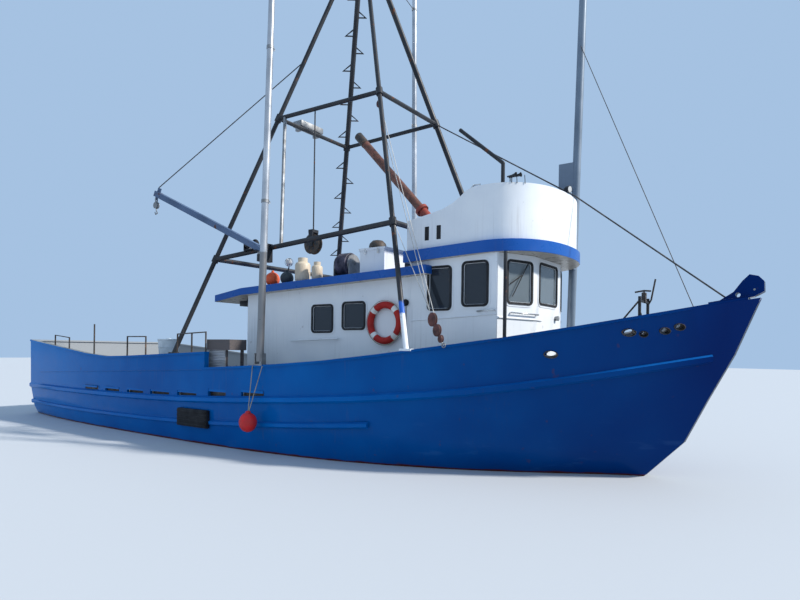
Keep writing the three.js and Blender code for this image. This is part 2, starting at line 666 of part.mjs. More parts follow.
addPart('brow', makeBrow(), TRIM_BLUE, 0.35, 0.1);
addPart('bridge_coaming', makeCoaming(), HOUSE_WHITE, 0.45, 0.05);

// Helm console and seat, seen through the wheelhouse windows.
const CONSOLE_Z = deckHeight(5300) + 4;

function makeConsole() {
  const desk = sidePlate([[4850, CONSOLE_Z], [5450, CONSOLE_Z], [5450, 2640], [5150, 2560], [4950, 2380],
    [4850, 2350]], -900, 900);
  const wheel = lathe([[-20, 0], [-20, 210], [20, 210], [20, 0]], at(4800, -250, 2330), at(1, 0, 0), 20);
  const hub = bar(at(4790, -250, 2330), at(4900, -250, 2330), 30);
  return union([desk, wheel, hub]).subtract(DECK_CUT);
}

function makeHelmSeat() {
  const floor = deckHeight(4300) + 4;
  const post = bar(at(4300, -250, floor - 60), at(4300, -250, 1900), 60);
  const cushion = block(4050, 4520, -500, 0, 1880, 1990);
  const back = block(4040, 4130, -490, -10, 1980, 2520);
  return union([post, cushion, back]).subtract(DECK_CUT);
}

addPart('helm_console', makeConsole(), WOOD_BROWN, 0.6, 0);
addPart('helm_seat', makeHelmSeat(), PIPE_BLACK, 0.7, 0);

// Gantry: four legs up to a mast cap, tied by an upper and a lower frame.
// A foot's row: its node, its length along the boat, its side and its pipe's radius.
const LEG_TOP_Z = 10700;
const FEET = [
  ['gantry_leg_starboard_aft', GANTRY_AFT_X, -1, 47], ['gantry_leg_port_aft', GANTRY_AFT_X, 1, 58],
  ['gantry_leg_starboard_fore', GANTRY_FORE_X, -1, 45], ['gantry_leg_port_fore', GANTRY_FORE_X, 1, 58],
];

function footTop(x) {
  return (x < STEP_X ? ramp(AFTER_TOP, x) : ramp(FORE_TOP, x)) + 22 + SEAT;
}

function legPoint(footX, side, z) {
  const foot = at(footX, side * footY(footX), footTop(footX));
  const share = (z - foot.z) / (APEX.z - foot.z);
  return foot.lerp(APEX, share);
}

function footY(x) {
  const u = (x - TRANSOM_X) / (STEM_X - TRANSOM_X);
  return Math.min(GANTRY_FOOT_Y, ramp(STATIONS, u, TOP_HALF) - 36);
}

const FOOT_PLATE = 26;

function makeLeg(footX, side, radius) {
  const z0 = footTop(footX);
  const foot = legPoint(footX, side, z0);
  const plate = block(foot.x - 110, foot.x + 110, foot.y - 55, foot.y + 55, z0 - 10, z0 + FOOT_PLATE);
  const trim = block(-9000, 9000, -4000, 4000, z0 - 10, LEG_TOP_Z);
  return seatOnRail(bar(legPoint(footX, side, z0 - 80), legPoint(footX, side, LEG_TOP_Z + 60), radius, 12)
    .intersect(trim).add(plate), side);
}

// Cuts a shape back from the bulwark it stands on.
function seatOnRail(shape, side) {
  const wall = bulwarks[side > 0 ? 1 : 0];
  return shape.subtract(wall.translate(0, -SEAT, SEAT)).subtract(wall.translate(0, SEAT, SEAT));
}

// Triangular steps, alternately fore and aft, up the port after leg.
const STEP_RISE = 340;
const STEP_FIRST = 2700;
const STEP_LAST = 10300;
const STEP_OUT = 240;
const STEP_HIGH = 215;
const STEP_BAR = 22;
const STEP_TURN = 0.64;        // radians from +X, so that the steps face the side deck

function legSteps(footX, side) {
  const steps = [];
  let out = 1;
  const sleeves = [UPPER_FRAME_Z, lowerFrameZ(legPoint(footX, side, LOWER_FRAME_Z).x)];
  for (let z = STEP_FIRST; z <= STEP_LAST; z += STEP_RISE) {
    if (sleeves.some((height) => z > height - 90 - STEP_HIGH && z < height + 90)) {
      out = -out;
      continue;
    }
    const root = legPoint(footX, side, z);
    const triangle = new THREE.Shape([[0, 0], [STEP_OUT, 0], [0, STEP_HIGH], [0, STEP_HIGH - 40],
      [STEP_OUT - 45, STEP_BAR], [0, STEP_BAR]].map(([x, y]) => new THREE.Vector2(x, y)));
    const plate = new THREE.ExtrudeGeometry(triangle, { depth: STEP_BAR, bevelEnabled: false });
    plate.rotateX(Math.PI / 2);
    plate.rotateZ(out > 0 ? STEP_TURN : STEP_TURN + Math.PI);
    plate.translate(root.x, root.y, root.z);
    steps.push(solid(plate));
    out = -out;
  }
  return union(steps);
}

const legs = {};
FEET.forEach(([name, footX, side, radius]) => {
  let leg = makeLeg(footX, side, radius);
  if (name === 'gantry_leg_port_aft') {
    leg = leg.add(legSteps(footX, side));
  }
  legs[name] = addPart(name, leg, PIPE_BLACK, 0.5, 0.3);
});

function lowerFrameZ(x) {
  return LOWER_FRAME_Z + LOWER_FRAME_RISE * (x + 870);
}

// A ring of bars between the legs, with a sleeve round each leg.
function makeFrame(heightAt, radius, sides) {
  const corners = FEET.map(([, footX, side]) => {
    const guess = legPoint(footX, side, heightAt(0));
    return legPoint(footX, side, heightAt(guess.x));
  });
  const [sternS, sternP, bowS, bowP] = corners;
  const bars = sides.map(([a, b]) => bar([sternS, sternP, bowS, bowP][a], [sternS, sternP, bowS, bowP][b],
    radius, 8));
  const sleeves = FEET.map(([, footX, side, leg], i) => bar(legPoint(footX, side, corners[i].z - 70),
    legPoint(footX, side, corners[i].z + 70), leg + 24, 12));
  const bores = FEET.map(([, footX, side, leg], i) => bar(legPoint(footX, side, corners[i].z - 400),
    legPoint(footX, side, corners[i].z + 400), leg + SEAT, 12));
  return { shape: union([...bars, ...sleeves]).subtract(union(bores)), corners, radius };
}

const SQUARE = [[0, 1], [1, 3], [3, 2], [2, 0]];
const upperFrame = makeFrame(() => UPPER_FRAME_Z, 45, SQUARE);
const lowerFrame = makeFrame(lowerFrameZ, 52, SQUARE);
addPart('gantry_upper_frame', upperFrame.shape, PIPE_BLACK, 0.5, 0.3);
addPart('gantry_lower_frame', lowerFrame.shape, PIPE_BLACK, 0.5, 0.3);

// The starboard bar of a frame, with the seat gap round it, to cut its neighbours by.
function starboardBar(frame) {
  return bar(frame.corners[2], frame.corners[0], frame.radius + SEAT * 1.1, 8);
}

// Mast cap over the four legs, with the topmast.
const CAP_HALF = 230;
const TOPMAST_TOP = 11900;

function makeMastCap() {
  const plate = block(APEX.x - CAP_HALF, APEX.x + CAP_HALF, -CAP_HALF, CAP_HALF,
    LEG_TOP_Z + SEAT, LEG_TOP_Z + 30);
  const collar = bar(at(APEX.x, 0, LEG_TOP_Z + 20), at(APEX.x, 0, LEG_TOP_Z + 260), 110, 16);
  const topmast = bar(at(APEX.x, 0, LEG_TOP_Z + 200), at(APEX.x, 0, TOPMAST_TOP), 55, 14);
  return union([plate, collar, topmast]);
}

addPart('mast_cap', makeMastCap(), PIPE_BLACK, 0.5, 0.3);

// Strut from the upper frame down to the lower starboard bar.
function barPoint(frame, from, to, share) {
  return frame.corners[from].clone().lerp(frame.corners[to], share);
}

const STRUT_SHARE = 0.417;
const strutFoot = barPoint(lowerFrame, 0, 2, STRUT_SHARE);
const strutHead = barPoint(upperFrame, 0, 2, 0.07);
const strut = bar(strutFoot, strutHead, 38, 10)
  .subtract(starboardBar(upperFrame))
  .subtract(starboardBar(lowerFrame));
addPart('gantry_strut', strut.intersect(block(-9000, 9000, -4000, 0, strutFoot.z, strutHead.z)),
  STEEL_GREY, 0.45, 0.4);

// Pipe on the flying bridge, bent aft under the forestay, and stanchions under the brow.
const BRIDGE_PIPE = [[5380, -1215, 3700], [5375, -1215, 5020], [4560, -1215, 5720]];
const STANCHION_X = 5515;
const STANCHION_Y = 1362;
const STANCHION_R = 30;

function makeBridgePipe() {
  const pipe = bentBar(BRIDGE_PIPE.map(([x, y, z]) => at(x, y, z)), 32, 10);
  const foot = block(5325, 5420, -1250, -1160, 3700, browTop(5380) + 30);
  return pipe.add(foot)
    .subtract(makeBrow().translate(0, 0, SEAT))
    .subtract(block(5000, 6000, -1500, -1000, 3400, browTop(5380) - 40));
}

function makeStanchion(side) {
  const head = browTop(STANCHION_X - STANCHION_R) - BROW_THICK - SEAT;
  const post = bar(at(STANCHION_X, side * STANCHION_Y, 1300), at(STANCHION_X, side * STANCHION_Y, head),
    STANCHION_R, 12);
  return post.subtract(DECK_CUT);
}

addPart('bridge_pipe', makeBridgePipe(), PIPE_BLACK, 0.5, 0.3);
addPart('stanchion_starboard', makeStanchion(-1), PIPE_BLACK, 0.5, 0.3);

// Foremast beside the port side of the wheelhouse, with its bracket and box.
const FOREMAST_FOOT = at(5536, 1485, 1300);
const FOREMAST_HEAD = at(5733, 1485, 9500);
const FOREMAST_R = 82;

function makeForemast() {
  const pole = bar(FOREMAST_FOOT, FOREMAST_HEAD, FOREMAST_R, 16, FOREMAST_R * 0.9);
  const bracket = block(5440, 5660, 1300, FOREMAST_FOOT.y, 3570, 3700);
  const box = block(5300, 5600, FOREMAST_FOOT.y - 70, FOREMAST_FOOT.y + 70, 5150, 5680);
  return union([pole, bracket, box]).subtract(DECK_CUT).subtract(makeBrow().translate(0, SEAT, 0));
}

addPart('foremast', makeForemast(), POLE_GREY, 0.35, 0.6);

// Dry exhaust: a riser through the deckhouse roof, then raked aft.
const EXHAUST_R = 88;
const EXHAUST_X = 3270;
const EXHAUST_BEND = at(EXHAUST_X, 0, 4480);
const EXHAUST_END = at(1300, 0, 6600);

function makeExhaust() {
  const foot = at(EXHAUST_X, 0, roofTop(EXHAUST_X) + SEAT);
  const pipe = bentBar([foot.clone().setZ(foot.z - 60), EXHAUST_BEND, EXHAUST_END], EXHAUST_R, 14);
  const base = block(EXHAUST_X - 170, EXHAUST_X + 170, -170, 170, foot.z - 60, foot.z + 45);
  const way = new THREE.Vector3().subVectors(EXHAUST_END, EXHAUST_BEND).normalize();
  const flangeAt = EXHAUST_BEND.clone().addScaledVector(way, 380);
  const flange = bar(flangeAt, flangeAt.clone().addScaledVector(way, 60), EXHAUST_R + 45, 14);
  return union([pipe, base, flange]).subtract(makeDeckhouseRoof().translate(0, 0, SEAT));
}

addPart('exhaust_stack', makeExhaust(), RUST_BROWN, 0.8, 0.2);

// Cargo boom: heel bracket on the lower starboard bar, gooseneck, boom and hook block.
const BOOM_HALF = 60;
const GOOSENECK_PIN = 85;     // luffing pin over the slewing heel
const HOOK_ALONG = BOOM_LENGTH - 55;
const HOOK_UP = -BOOM_HALF - 40;
const boomSlew = (BOOM_SLEW * Math.PI) / 180;
const boomRise = (BOOM_RISE * Math.PI) / 180;
const boomPin = at(BOOM_HEEL.x, BOOM_HEEL.y, BOOM_HEEL.z + GOOSENECK_PIN);

// Puts a geometry drawn along +X from the pin into the boom's resting direction.
function alongBoom(geometry) {
  geometry.rotateY(-boomRise);
  geometry.rotateZ(Math.PI + boomSlew);
  geometry.translate(boomPin.x, boomPin.y, boomPin.z);
  return solid(geometry);
}

function boomBox(x0, x1, y0, y1, z0, z1) {
  const geometry = new THREE.BoxGeometry(x1 - x0, y1 - y0, z1 - z0);
  geometry.translate((x0 + x1) / 2, (y0 + y1) / 2, (z0 + z1) / 2);
  return alongBoom(geometry);
}

// A round rod across the boom, from its place along the boom and over its axis.
function boomRod(along, up, half, radius, sides) {
  const geometry = new THREE.CylinderGeometry(radius, radius, half * 2, sides);
  geometry.translate(along, 0, up);
  return alongBoom(geometry);
}

function boomPoint(along, up) {
  const reach = along * Math.cos(boomRise) - up * Math.sin(boomRise);
  return at(boomPin.x - reach * Math.cos(boomSlew), boomPin.y - reach * Math.sin(boomSlew),
    boomPin.z + along * Math.sin(boomRise) + up * Math.cos(boomRise));
}

function makeBoomBracket() {
  const top = BOOM_HEEL.z - 20;
  const arm = block(BOOM_HEEL.x - 60, BOOM_HEEL.x + 60, BOOM_HEEL.y, -1840, top - 130, top);
  const clamp = block(BOOM_HEEL.x - 60, BOOM_HEEL.x + 60, -1968, -1820,
    top - 130, lowerFrameZ(BOOM_HEEL.x) + 75);
  const seat = bar(at(BOOM_HEEL.x, BOOM_HEEL.y, top - 130), at(BOOM_HEEL.x, BOOM_HEEL.y, top), 90, 16);
  const pin = bar(at(BOOM_HEEL.x, BOOM_HEEL.y, top - 60), at(BOOM_HEEL.x, BOOM_HEEL.y, top + 32), 28, 12);
  return union([arm, clamp, seat, pin]).subtract(starboardBar(lowerFrame));
}

function makeGooseneck() {
  const z0 = BOOM_HEEL.z - 20 + SEAT;
  const base = bar(at(BOOM_HEEL.x, BOOM_HEEL.y, z0), at(BOOM_HEEL.x, BOOM_HEEL.y, z0 + 48), 80, 16);
  const bore = bar(at(BOOM_HEEL.x, BOOM_HEEL.y, z0 - 10), at(BOOM_HEEL.x, BOOM_HEEL.y, z0 + 34), 29.4, 12);
  const ear = new THREE.BoxGeometry(90, 50, 120);
  ear.translate(0, 0, -15);
  ear.rotateZ(Math.PI + boomSlew);
  ear.translate(boomPin.x, boomPin.y, boomPin.z);
  return base.add(solid(ear)).subtract(bore).subtract(boomRod(0, 0, 60, 20.8, 16));
}

function makeBoom() {
  const beam = boomBox(95, BOOM_LENGTH, -BOOM_HALF, BOOM_HALF, -BOOM_HALF, BOOM_HALF);
  const cheeks = [-1, 1].map((side) => boomBox(-35, 200, side > 0 ? 32 : -60, side > 0 ? 60 : -32, -35, 35));
  const lug = boomBox(BOOM_LENGTH - 120, BOOM_LENGTH - 20, -12, 12, BOOM_HALF - 10, BOOM_HALF + 90);
  const hookEye = boomBox(BOOM_LENGTH - 90, BOOM_LENGTH - 20, -12, 12, -BOOM_HALF - 70, -BOOM_HALF + 10)
    .subtract(boomRod(HOOK_ALONG, HOOK_UP, 30, 9, 12));
  return union([beam, ...cheeks, lug, hookEye, boomRod(0, 0, 62, 20, 16)]);
}

const HOOK_PIN = boomPoint(HOOK_ALONG, HOOK_UP);
const HOOK_DROP = 330;

// A box drawn round the hook's pin, turned with the boom.
function hookBox(x, y0, y1, z0, z1) {
  const geometry = new THREE.BoxGeometry(x * 2, y1 - y0, z1 - z0);
  geometry.translate(0, (y0 + y1) / 2, (z0 + z1) / 2);
  geometry.rotateZ(Math.PI + boomSlew);
  geometry.translate(HOOK_PIN.x, HOOK_PIN.y, HOOK_PIN.z);
  return solid(geometry);
}

function makeHookBlock() {
  const top = HOOK_PIN.z;
  const fork = [hookBox(15, 17, 27, -70, 15), hookBox(15, -27, -17, -70, 15), hookBox(15, -27, 27, -84, -62)];
  const pin = boomRod(HOOK_ALONG, HOOK_UP, 26, 8, 12);
  const shell = bar(at(HOOK_PIN.x, HOOK_PIN.y - 34, top - 150), at(HOOK_PIN.x, HOOK_PIN.y + 34, top - 150),
    75, 12);
  const hook = bentBar([at(HOOK_PIN.x, HOOK_PIN.y, top - 200), at(HOOK_PIN.x, HOOK_PIN.y, top - 270),
    at(HOOK_PIN.x + 45, HOOK_PIN.y, top - HOOK_DROP), at(HOOK_PIN.x - 25, HOOK_PIN.y, top - HOOK_DROP - 20),
    at(HOOK_PIN.x - 50, HOOK_PIN.y, top - HOOK_DROP + 35)], 12, 6);
  return union([...fork, pin, shell, hook]);
}

addPart('boom_bracket', makeBoomBracket(), PIPE_BLACK, 0.5, 0.3);
addPart('boom_gooseneck', makeGooseneck(), STEEL_GREY, 0.5, 0.5);
addPart('cargo_boom', makeBoom(), BOOM_GREY, 0.5, 0.2);
addPart('hook_block', makeHookBlock(), STEEL_GREY, 0.5, 0.5);

// A drum winch: two cheeks on a base, and a flanged drum on a shaft between them.
function makeWinchFrame(centre, wide, cheekR, baseZ, long) {
  const half = wide / 2;
  const cheeks = [-1, 1].map((side) => bar(at(centre.x + side * half, centre.y, centre.z),
    at(centre.x + side * (half + 18), centre.y, centre.z), cheekR, 18));
  const feet = [-1, 1].map((side) => block(centre.x + (side > 0 ? half : -half - 18),
    centre.x + (side > 0 ? half + 18 : -half), centre.y - long / 2, centre.y + long / 2, baseZ, centre.z));
  const base = block(centre.x - half - 18, centre.x + half + 18, centre.y - long / 2, centre.y + long / 2,
    baseZ, baseZ + 24);
  const bore = bar(at(centre.x - wide, centre.y, centre.z), at(centre.x + wide, centre.y, centre.z), 21, 14);
  return union([...cheeks, ...feet, base]).subtract(bore);
}

function makeWinchDrum(centre, wide, drumR, coreR) {
  const half = wide / 2 - 6;
  const profile = [[-half - 40, 0], [-half - 40, 20], [-half, 20], [-half, drumR], [-half + 14, drumR],
    [-half + 14, coreR], [half - 14, coreR], [half - 14, drumR], [half, drumR], [half, 20],
    [half + 40, 20], [half + 40, 0]];
  return lathe(profile, centre, at(1, 0, 0), 16);
}

const CARGO_WINCH = at(60, -1880, 4070);
const cargoWinchBase = lowerFrameZ(60) + 55;
const cargoFrame = makeWinchFrame(CARGO_WINCH, 230, 95, cargoWinchBase - 30, 190);
addPart('cargo_winch_frame', cargoFrame.subtract(starboardBar(lowerFrame)), PIPE_BLACK, 0.5, 0.3);
addPart('cargo_winch_drum', makeWinchDrum(CARGO_WINCH, 230, 80, 52), STEEL_GREY, 0.5, 0.5);

// Hauling block hung from the upper starboard bar.
const HAUL_HANG = barPoint(upperFrame, 0, 2, 0.389);
const HAUL_SHEAVE = at(HAUL_HANG.x, HAUL_HANG.y, 4110);
const HAUL_R = 212;

function makeHaulingHanger() {
  const rod = bar(at(HAUL_HANG.x, HAUL_HANG.y, HAUL_HANG.z - 30),
    at(HAUL_HANG.x, HAUL_HANG.y, HAUL_SHEAVE.z + 270), 14, 8);
  const head = block(HAUL_HANG.x - 60, HAUL_HANG.x + 60, HAUL_HANG.y - 88, HAUL_HANG.y + 88,
    HAUL_SHEAVE.z + 230, HAUL_SHEAVE.z + 290);
  const cheeks = [-1, 1].map((side) => block(HAUL_HANG.x - 55, HAUL_HANG.x + 55,
    HAUL_HANG.y + (side > 0 ? 66 : -88), HAUL_HANG.y + (side > 0 ? 88 : -66),
    HAUL_SHEAVE.z - 60, HAUL_SHEAVE.z + 240));
  const bore = bar(at(HAUL_HANG.x, HAUL_HANG.y - 300, HAUL_SHEAVE.z),
    at(HAUL_HANG.x, HAUL_HANG.y + 300, HAUL_SHEAVE.z), 21, 14);
  return union([rod, head, ...cheeks]).subtract(bore).subtract(starboardBar(upperFrame));
}

function makeHaulingSheave() {
  const profile = [[-96, 0], [-96, 20], [-58, 20], [-58, HAUL_R], [-46, HAUL_R], [-14, HAUL_R - 55],
    [14, HAUL_R - 55], [46, HAUL_R], [58, HAUL_R], [58, 20], [96, 20], [96, 0]];
  return lathe(profile, HAUL_SHEAVE, at(0, 1, 0), 16);
}

addPart('hauling_block', makeHaulingHanger(), PIPE_BLACK, 0.6, 0.3);
addPart('hauling_sheave', makeHaulingSheave(), RUST_BROWN, 0.7, 0.3);

// Outrigger poles, stowed upright, each on a heel bracket on the rail.
const POLE_PIN_UP = 138;

function railTopZ(x) {
  return ramp(FORE_TOP, x) + 22;
}

const POLE_PIN_Z = railTopZ(POLE_X) + 22 + POLE_PIN_UP;
const CHEEK_IN = POLE_R + 8;

function makePoleHeel(side) {
  const z0 = railTopZ(POLE_X) - 8;
  const base = block(POLE_X - CHEEK_IN - 30, POLE_X + CHEEK_IN + 30, side * POLE_Y - 62, side * POLE_Y + 62,
    z0, railTopZ(POLE_X) + 22);
  const cheeks = [-1, 1].map((end) => block(POLE_X + (end > 0 ? CHEEK_IN : -CHEEK_IN - 22),
    POLE_X + (end > 0 ? CHEEK_IN + 22 : -CHEEK_IN), side * POLE_Y - 55, side * POLE_Y + 55,
    z0 + 10, POLE_PIN_Z + 60));
  const bore = bar(at(POLE_X - 300, side * POLE_Y, POLE_PIN_Z),
    at(POLE_X + 300, side * POLE_Y, POLE_PIN_Z), 21, 14);
  return seatOnRail(union([base, ...cheeks]).subtract(bore), side);
}

function makePole(side) {
  const lean = (POLE_LEAN * Math.PI) / 180;
  const foot = at(POLE_X, side * POLE_Y, POLE_PIN_Z);
  const along = at(0, -side * Math.sin(lean), Math.cos(lean));
  const tube = bar(foot.clone().addScaledVector(along, -95), foot.clone().addScaledVector(along, POLE_LENGTH),
    POLE_R, 16, POLE_R * 0.72);
  const pin = bar(at(POLE_X - CHEEK_IN - 24, foot.y, foot.z),
    at(POLE_X + CHEEK_IN + 24, foot.y, foot.z), 20, 14);
  return tube.add(pin);
}

[['starboard', -1], ['port', 1]].forEach(([name, side]) => {
  addPart(`outrigger_heel_${name}`, makePoleHeel(side), STEEL_GREY, 0.5, 0.4);
  addPart(`outrigger_pole_${name}`, makePole(side), POLE_GREY, 0.35, 0.7);
});

// Gear on the deckhouse roof.
function onRoof(x) {
  return roofTop(x) + SEAT;
}

// A shape standing on the sloping roof, cut off level with it.
function seatOnRoof(shape) {
  return shape.subtract(makeDeckhouseRoof().translate(0, 0, SEAT));
}

function makeBuoy(x, y, radius) {
  const ball = new THREE.SphereGeometry(radius, 12, 8);
  ball.rotateX(Math.PI / 2);
  ball.translate(x, y, onRoof(x) + radius - 8);
  const eye = bar(at(x, y, onRoof(x) + radius * 2 - 30), at(x, y, onRoof(x) + radius * 2 + 40), 22, 10);
  return seatOnRoof(solid(ball).add(eye));
}

function makeGasBottle(x, y, radius, high) {
  const z = onRoof(x) - 20;
  const profile = [[0, 0], [0, radius * 0.85], [40, radius], [high - radius * 0.6, radius],
    [high - radius * 0.25, radius * 0.7], [high - 20, radius * 0.62],
    [high + 60, radius * 0.62], [high + 60, 0]];
  return seatOnRoof(lathe(profile, at(x, y, z), at(0, 0, 1), 18));
}

addPart('float_orange', makeBuoy(70, -1300, 155), ORANGE, 0.5, 0);
addPart('float_dark', makeBuoy(480, -1280, 142), 0x2a2f36, 0.6, 0);
addPart('gas_bottle_large', makeGasBottle(915, -1260, 160, 480), BEIGE, 0.5, 0.1);
addPart('gas_bottle_small', makeGasBottle(1300, -1240, 113, 360), BEIGE, 0.5, 0.1);

const REEL_X = 2010;
const REEL_WIDE = 370;
const REEL = at(REEL_X, -1150, roofTop(REEL_X) + 272);
const reelFrame = makeWinchFrame(REEL, REEL_WIDE, 60, roofTop(REEL_X) - 8, 340);
addPart('hose_reel_stand', seatOnRoof(reelFrame), STEEL_GREY, 0.5, 0.3);
addPart('hose_reel_drum', makeWinchDrum(REEL, REEL_WIDE, 228, 205), 0x1b1b1d, 0.8, 0);

const LOCKER = { x0: 2460, x1: 3040, y0: -1300, y1: -650, top: 3822 };

function makeRoofLocker() {
  const body = block(LOCKER.x0, LOCKER.x1, LOCKER.y0, LOCKER.y1, 3250, LOCKER.top);
  const lid = block(LOCKER.x0 - 20, LOCKER.x1 + 20, LOCKER.y0 - 20, LOCKER.y1 + 20,
    LOCKER.top - 10, LOCKER.top + 35);
  const vent = lathe([[0, 0], [0, 90], [60, 90], [60, 165], [120, 150], [175, 95], [195, 0]],
    at(2690, -1050, LOCKER.top + 25), at(0, 0, 1), 18);
  return seatOnRoof(union([body, lid, vent]));
}

addPart('roof_locker', makeRoofLocker(), HOUSE_WHITE, 0.5, 0);

// Life ring and handrail on the starboard wall of the deckhouse.
const RING_R = 325;
const RING_TUBE = 66;
const RING_X = 3195;

function makeLifeRing() {
  const ring = new THREE.TorusGeometry(RING_R, RING_TUBE, 8, 24);
  ring.rotateX(Math.PI / 2);
  ring.translate(RING_X, -HOUSE_HALF - SEAT - RING_TUBE, 2437);
  return solid(ring);
}

function makeHandrail() {
  const y = -HOUSE_HALF - 70;
  const rail = bar(at(810, y, 2110), at(2080, y, 2150), 16, 8);
  const feet = [900, 1990].map((x) => {
    const z = 2112 + (x - 810) * 0.03;
    return bar(at(x, y, z), at(x, -HOUSE_HALF - SEAT, z), 12, 6);
  });
  return union([rail, ...feet]);
}

addPart('life_ring', makeLifeRing(), ORANGE, 0.6, 0);
addPart('handrail', makeHandrail(), HOUSE_WHITE, 0.4, 0.2);

// Deck gear: fish-hold hatch, hauling table, totes, bitts, windlass and bow roller.
const HATCH = { x0: -4700, x1: -3300, half: 700, wall: 40, top: 1390 };
const HATCH_LUGS = [-450, 450];

function makeHatchCoaming() {
  const wall = block(HATCH.x0, HATCH.x1, -HATCH.half, HATCH.half, 600, HATCH.top)
    .subtract(block(HATCH.x0 + HATCH.wall, HATCH.x1 - HATCH.wall,
      -HATCH.half + HATCH.wall, HATCH.half - HATCH.wall, 500, 2000));
  const lugs = HATCH_LUGS.map((y) => block(HATCH.x0 - 90, HATCH.x0 + 5, y - 55, y - 15,
    HATCH.top - 70, HATCH.top - 5)
    .add(block(HATCH.x0 - 90, HATCH.x0 - 30, y - 55, y - 15, HATCH.top - 10, HATCH.top + 40))
    .subtract(bar(at(HATCH.x0 - 50, y - 60, HATCH.top + 20), at(HATCH.x0 - 50, y - 10, HATCH.top + 20),
      10.8, 12)));
  return union([wall, ...lugs]).subtract(DECK_CUT);
}

function makeHatchCover() {
  const lid = block(HATCH.x0 - 15, HATCH.x1 + 25, -HATCH.half - 25, HATCH.half + 25,
    HATCH.top + SEAT, HATCH.top + 50);
  const arms = HATCH_LUGS.map((y) => block(HATCH.x0 - 80, HATCH.x0, y - 9.5, y + 25,
    HATCH.top + 6, HATCH.top + 40)
    .add(bar(at(HATCH.x0 - 50, y - 53, HATCH.top + 20), at(HATCH.x0 - 50, y + 20, HATCH.top + 20), 10, 12)));
  const grip = block(HATCH.x1 - 100, HATCH.x1 - 70, -120, 120, HATCH.top + 45, HATCH.top + 90);
  return union([lid, ...arms, grip]);
}

addPart('hatch_coaming', makeHatchCoaming(), HOUSE_WHITE, 0.5, 0.1);
addPart('hatch_cover', makeHatchCover(), STEEL_GREY, 0.45, 0.5);

function makeHaulingTable() {
  const tray = block(-520, 190, -2500, -2080, 1900, 2110)
    .subtract(block(-480, 150, -2460, -2120, 1930, 2300));
  const panel = block(-520, 20, -2440, -2400, 900, 1905);
  const legsBack = [-450, 100].map((x) => block(x, x + 50, -2160, -2110, 900, 1905));
  const shelf = block(-460, 160, -2440, -2100, 1180, 1215);
  return union([tray, panel, ...legsBack, shelf]).subtract(DECK_CUT);
}

// A fish tote with a lidded round tub on it.
const TUB = at(-2830, -1830, 1510);

function makeTote() {
  const tote = block(-3080, -2230, -2080, -1380, 800, 1520);
  const tub = lathe([[0, 0], [0, 190], [585, 238], [585, 248], [620, 248], [620, 0]], TUB, at(0, 0, 1), 20);
  return union([tote, tub]).subtract(DECK_CUT);
}

function makeBitt(side) {
  const x = -8150;
  const y = side * 1700;
  const z = deckHeight(x);
  const posts = [-130, 130].map((dx) => bar(at(x + dx, y, z - 60), at(x + dx, y, z + 420), 55, 10));
  const cross = bar(at(x - 260, y, z + 280), at(x + 260, y, z + 280), 32, 8);
  const base = block(x - 230, x + 230, y - 100, y + 100, z - 60, z + 20);
  return union([...posts, cross, base]).subtract(DECK_CUT);
}

addPart('hauling_table', makeHaulingTable(), WOOD_BROWN, 0.7, 0);
addPart('fish_totes', makeTote(), HOUSE_WHITE, 0.6, 0);
addPart('bitt_starboard', makeBitt(-1), STEEL_GREY, 0.5, 0.4);
addPart('bitt_port', makeBitt(1), STEEL_GREY, 0.5, 0.4);

const WINDLASS = at(7150, 0, 2060);

function makeWindlassFrame() {
  const z = deckHeight(WINDLASS.x);
  const base = block(WINDLASS.x - 300, WINDLASS.x + 460, -290, 290, z - 80, z + 50);
  const sides = [-1, 1].map((side) => block(WINDLASS.x - 140, WINDLASS.x + 175, side > 0 ? 230 : -255,
    side > 0 ? 255 : -230, z, WINDLASS.z + 130));
  const posts = [-1, 1].map((side) => bar(at(WINDLASS.x + 150, side * 256, z),
    at(WINDLASS.x + 150, side * 256, 2850), 24, 10));
  const cross = bar(at(WINDLASS.x + 150, -285, 2780), at(WINDLASS.x + 150, 285, 2780), 20, 10);
  const brace = bar(at(WINDLASS.x + 430, -256, z + 30), at(WINDLASS.x + 150, -256, 2620), 18, 8);
  const bore = bar(at(WINDLASS.x, -400, WINDLASS.z), at(WINDLASS.x, 400, WINDLASS.z), 30.9, 16);
  return union([base, ...sides, ...posts, cross, brace]).subtract(bore).subtract(DECK_CUT);
}

function makeWindlassDrum() {
  const profile = [[-370, 0], [-370, 85], [-350, 95], [-300, 70], [-268, 90], [-262, 30], [-222, 30],
    [-222, 190], [-205, 190], [-205, 110], [205, 110], [205, 190], [222, 190], [222, 30], [262, 30],
    [268, 90], [300, 70], [350, 95], [370, 85], [370, 0]];
  return lathe(profile, WINDLASS, at(0, 1, 0), 14);
}

addPart('windlass_frame', makeWindlassFrame(), HULL_BLUE, 0.5, 0.2);
addPart('windlass_drum', makeWindlassDrum(), STEEL_GREY, 0.5, 0.5);

const ROLLER = at(8850, 0, 2900);
const ROLLER_HALF = 62;

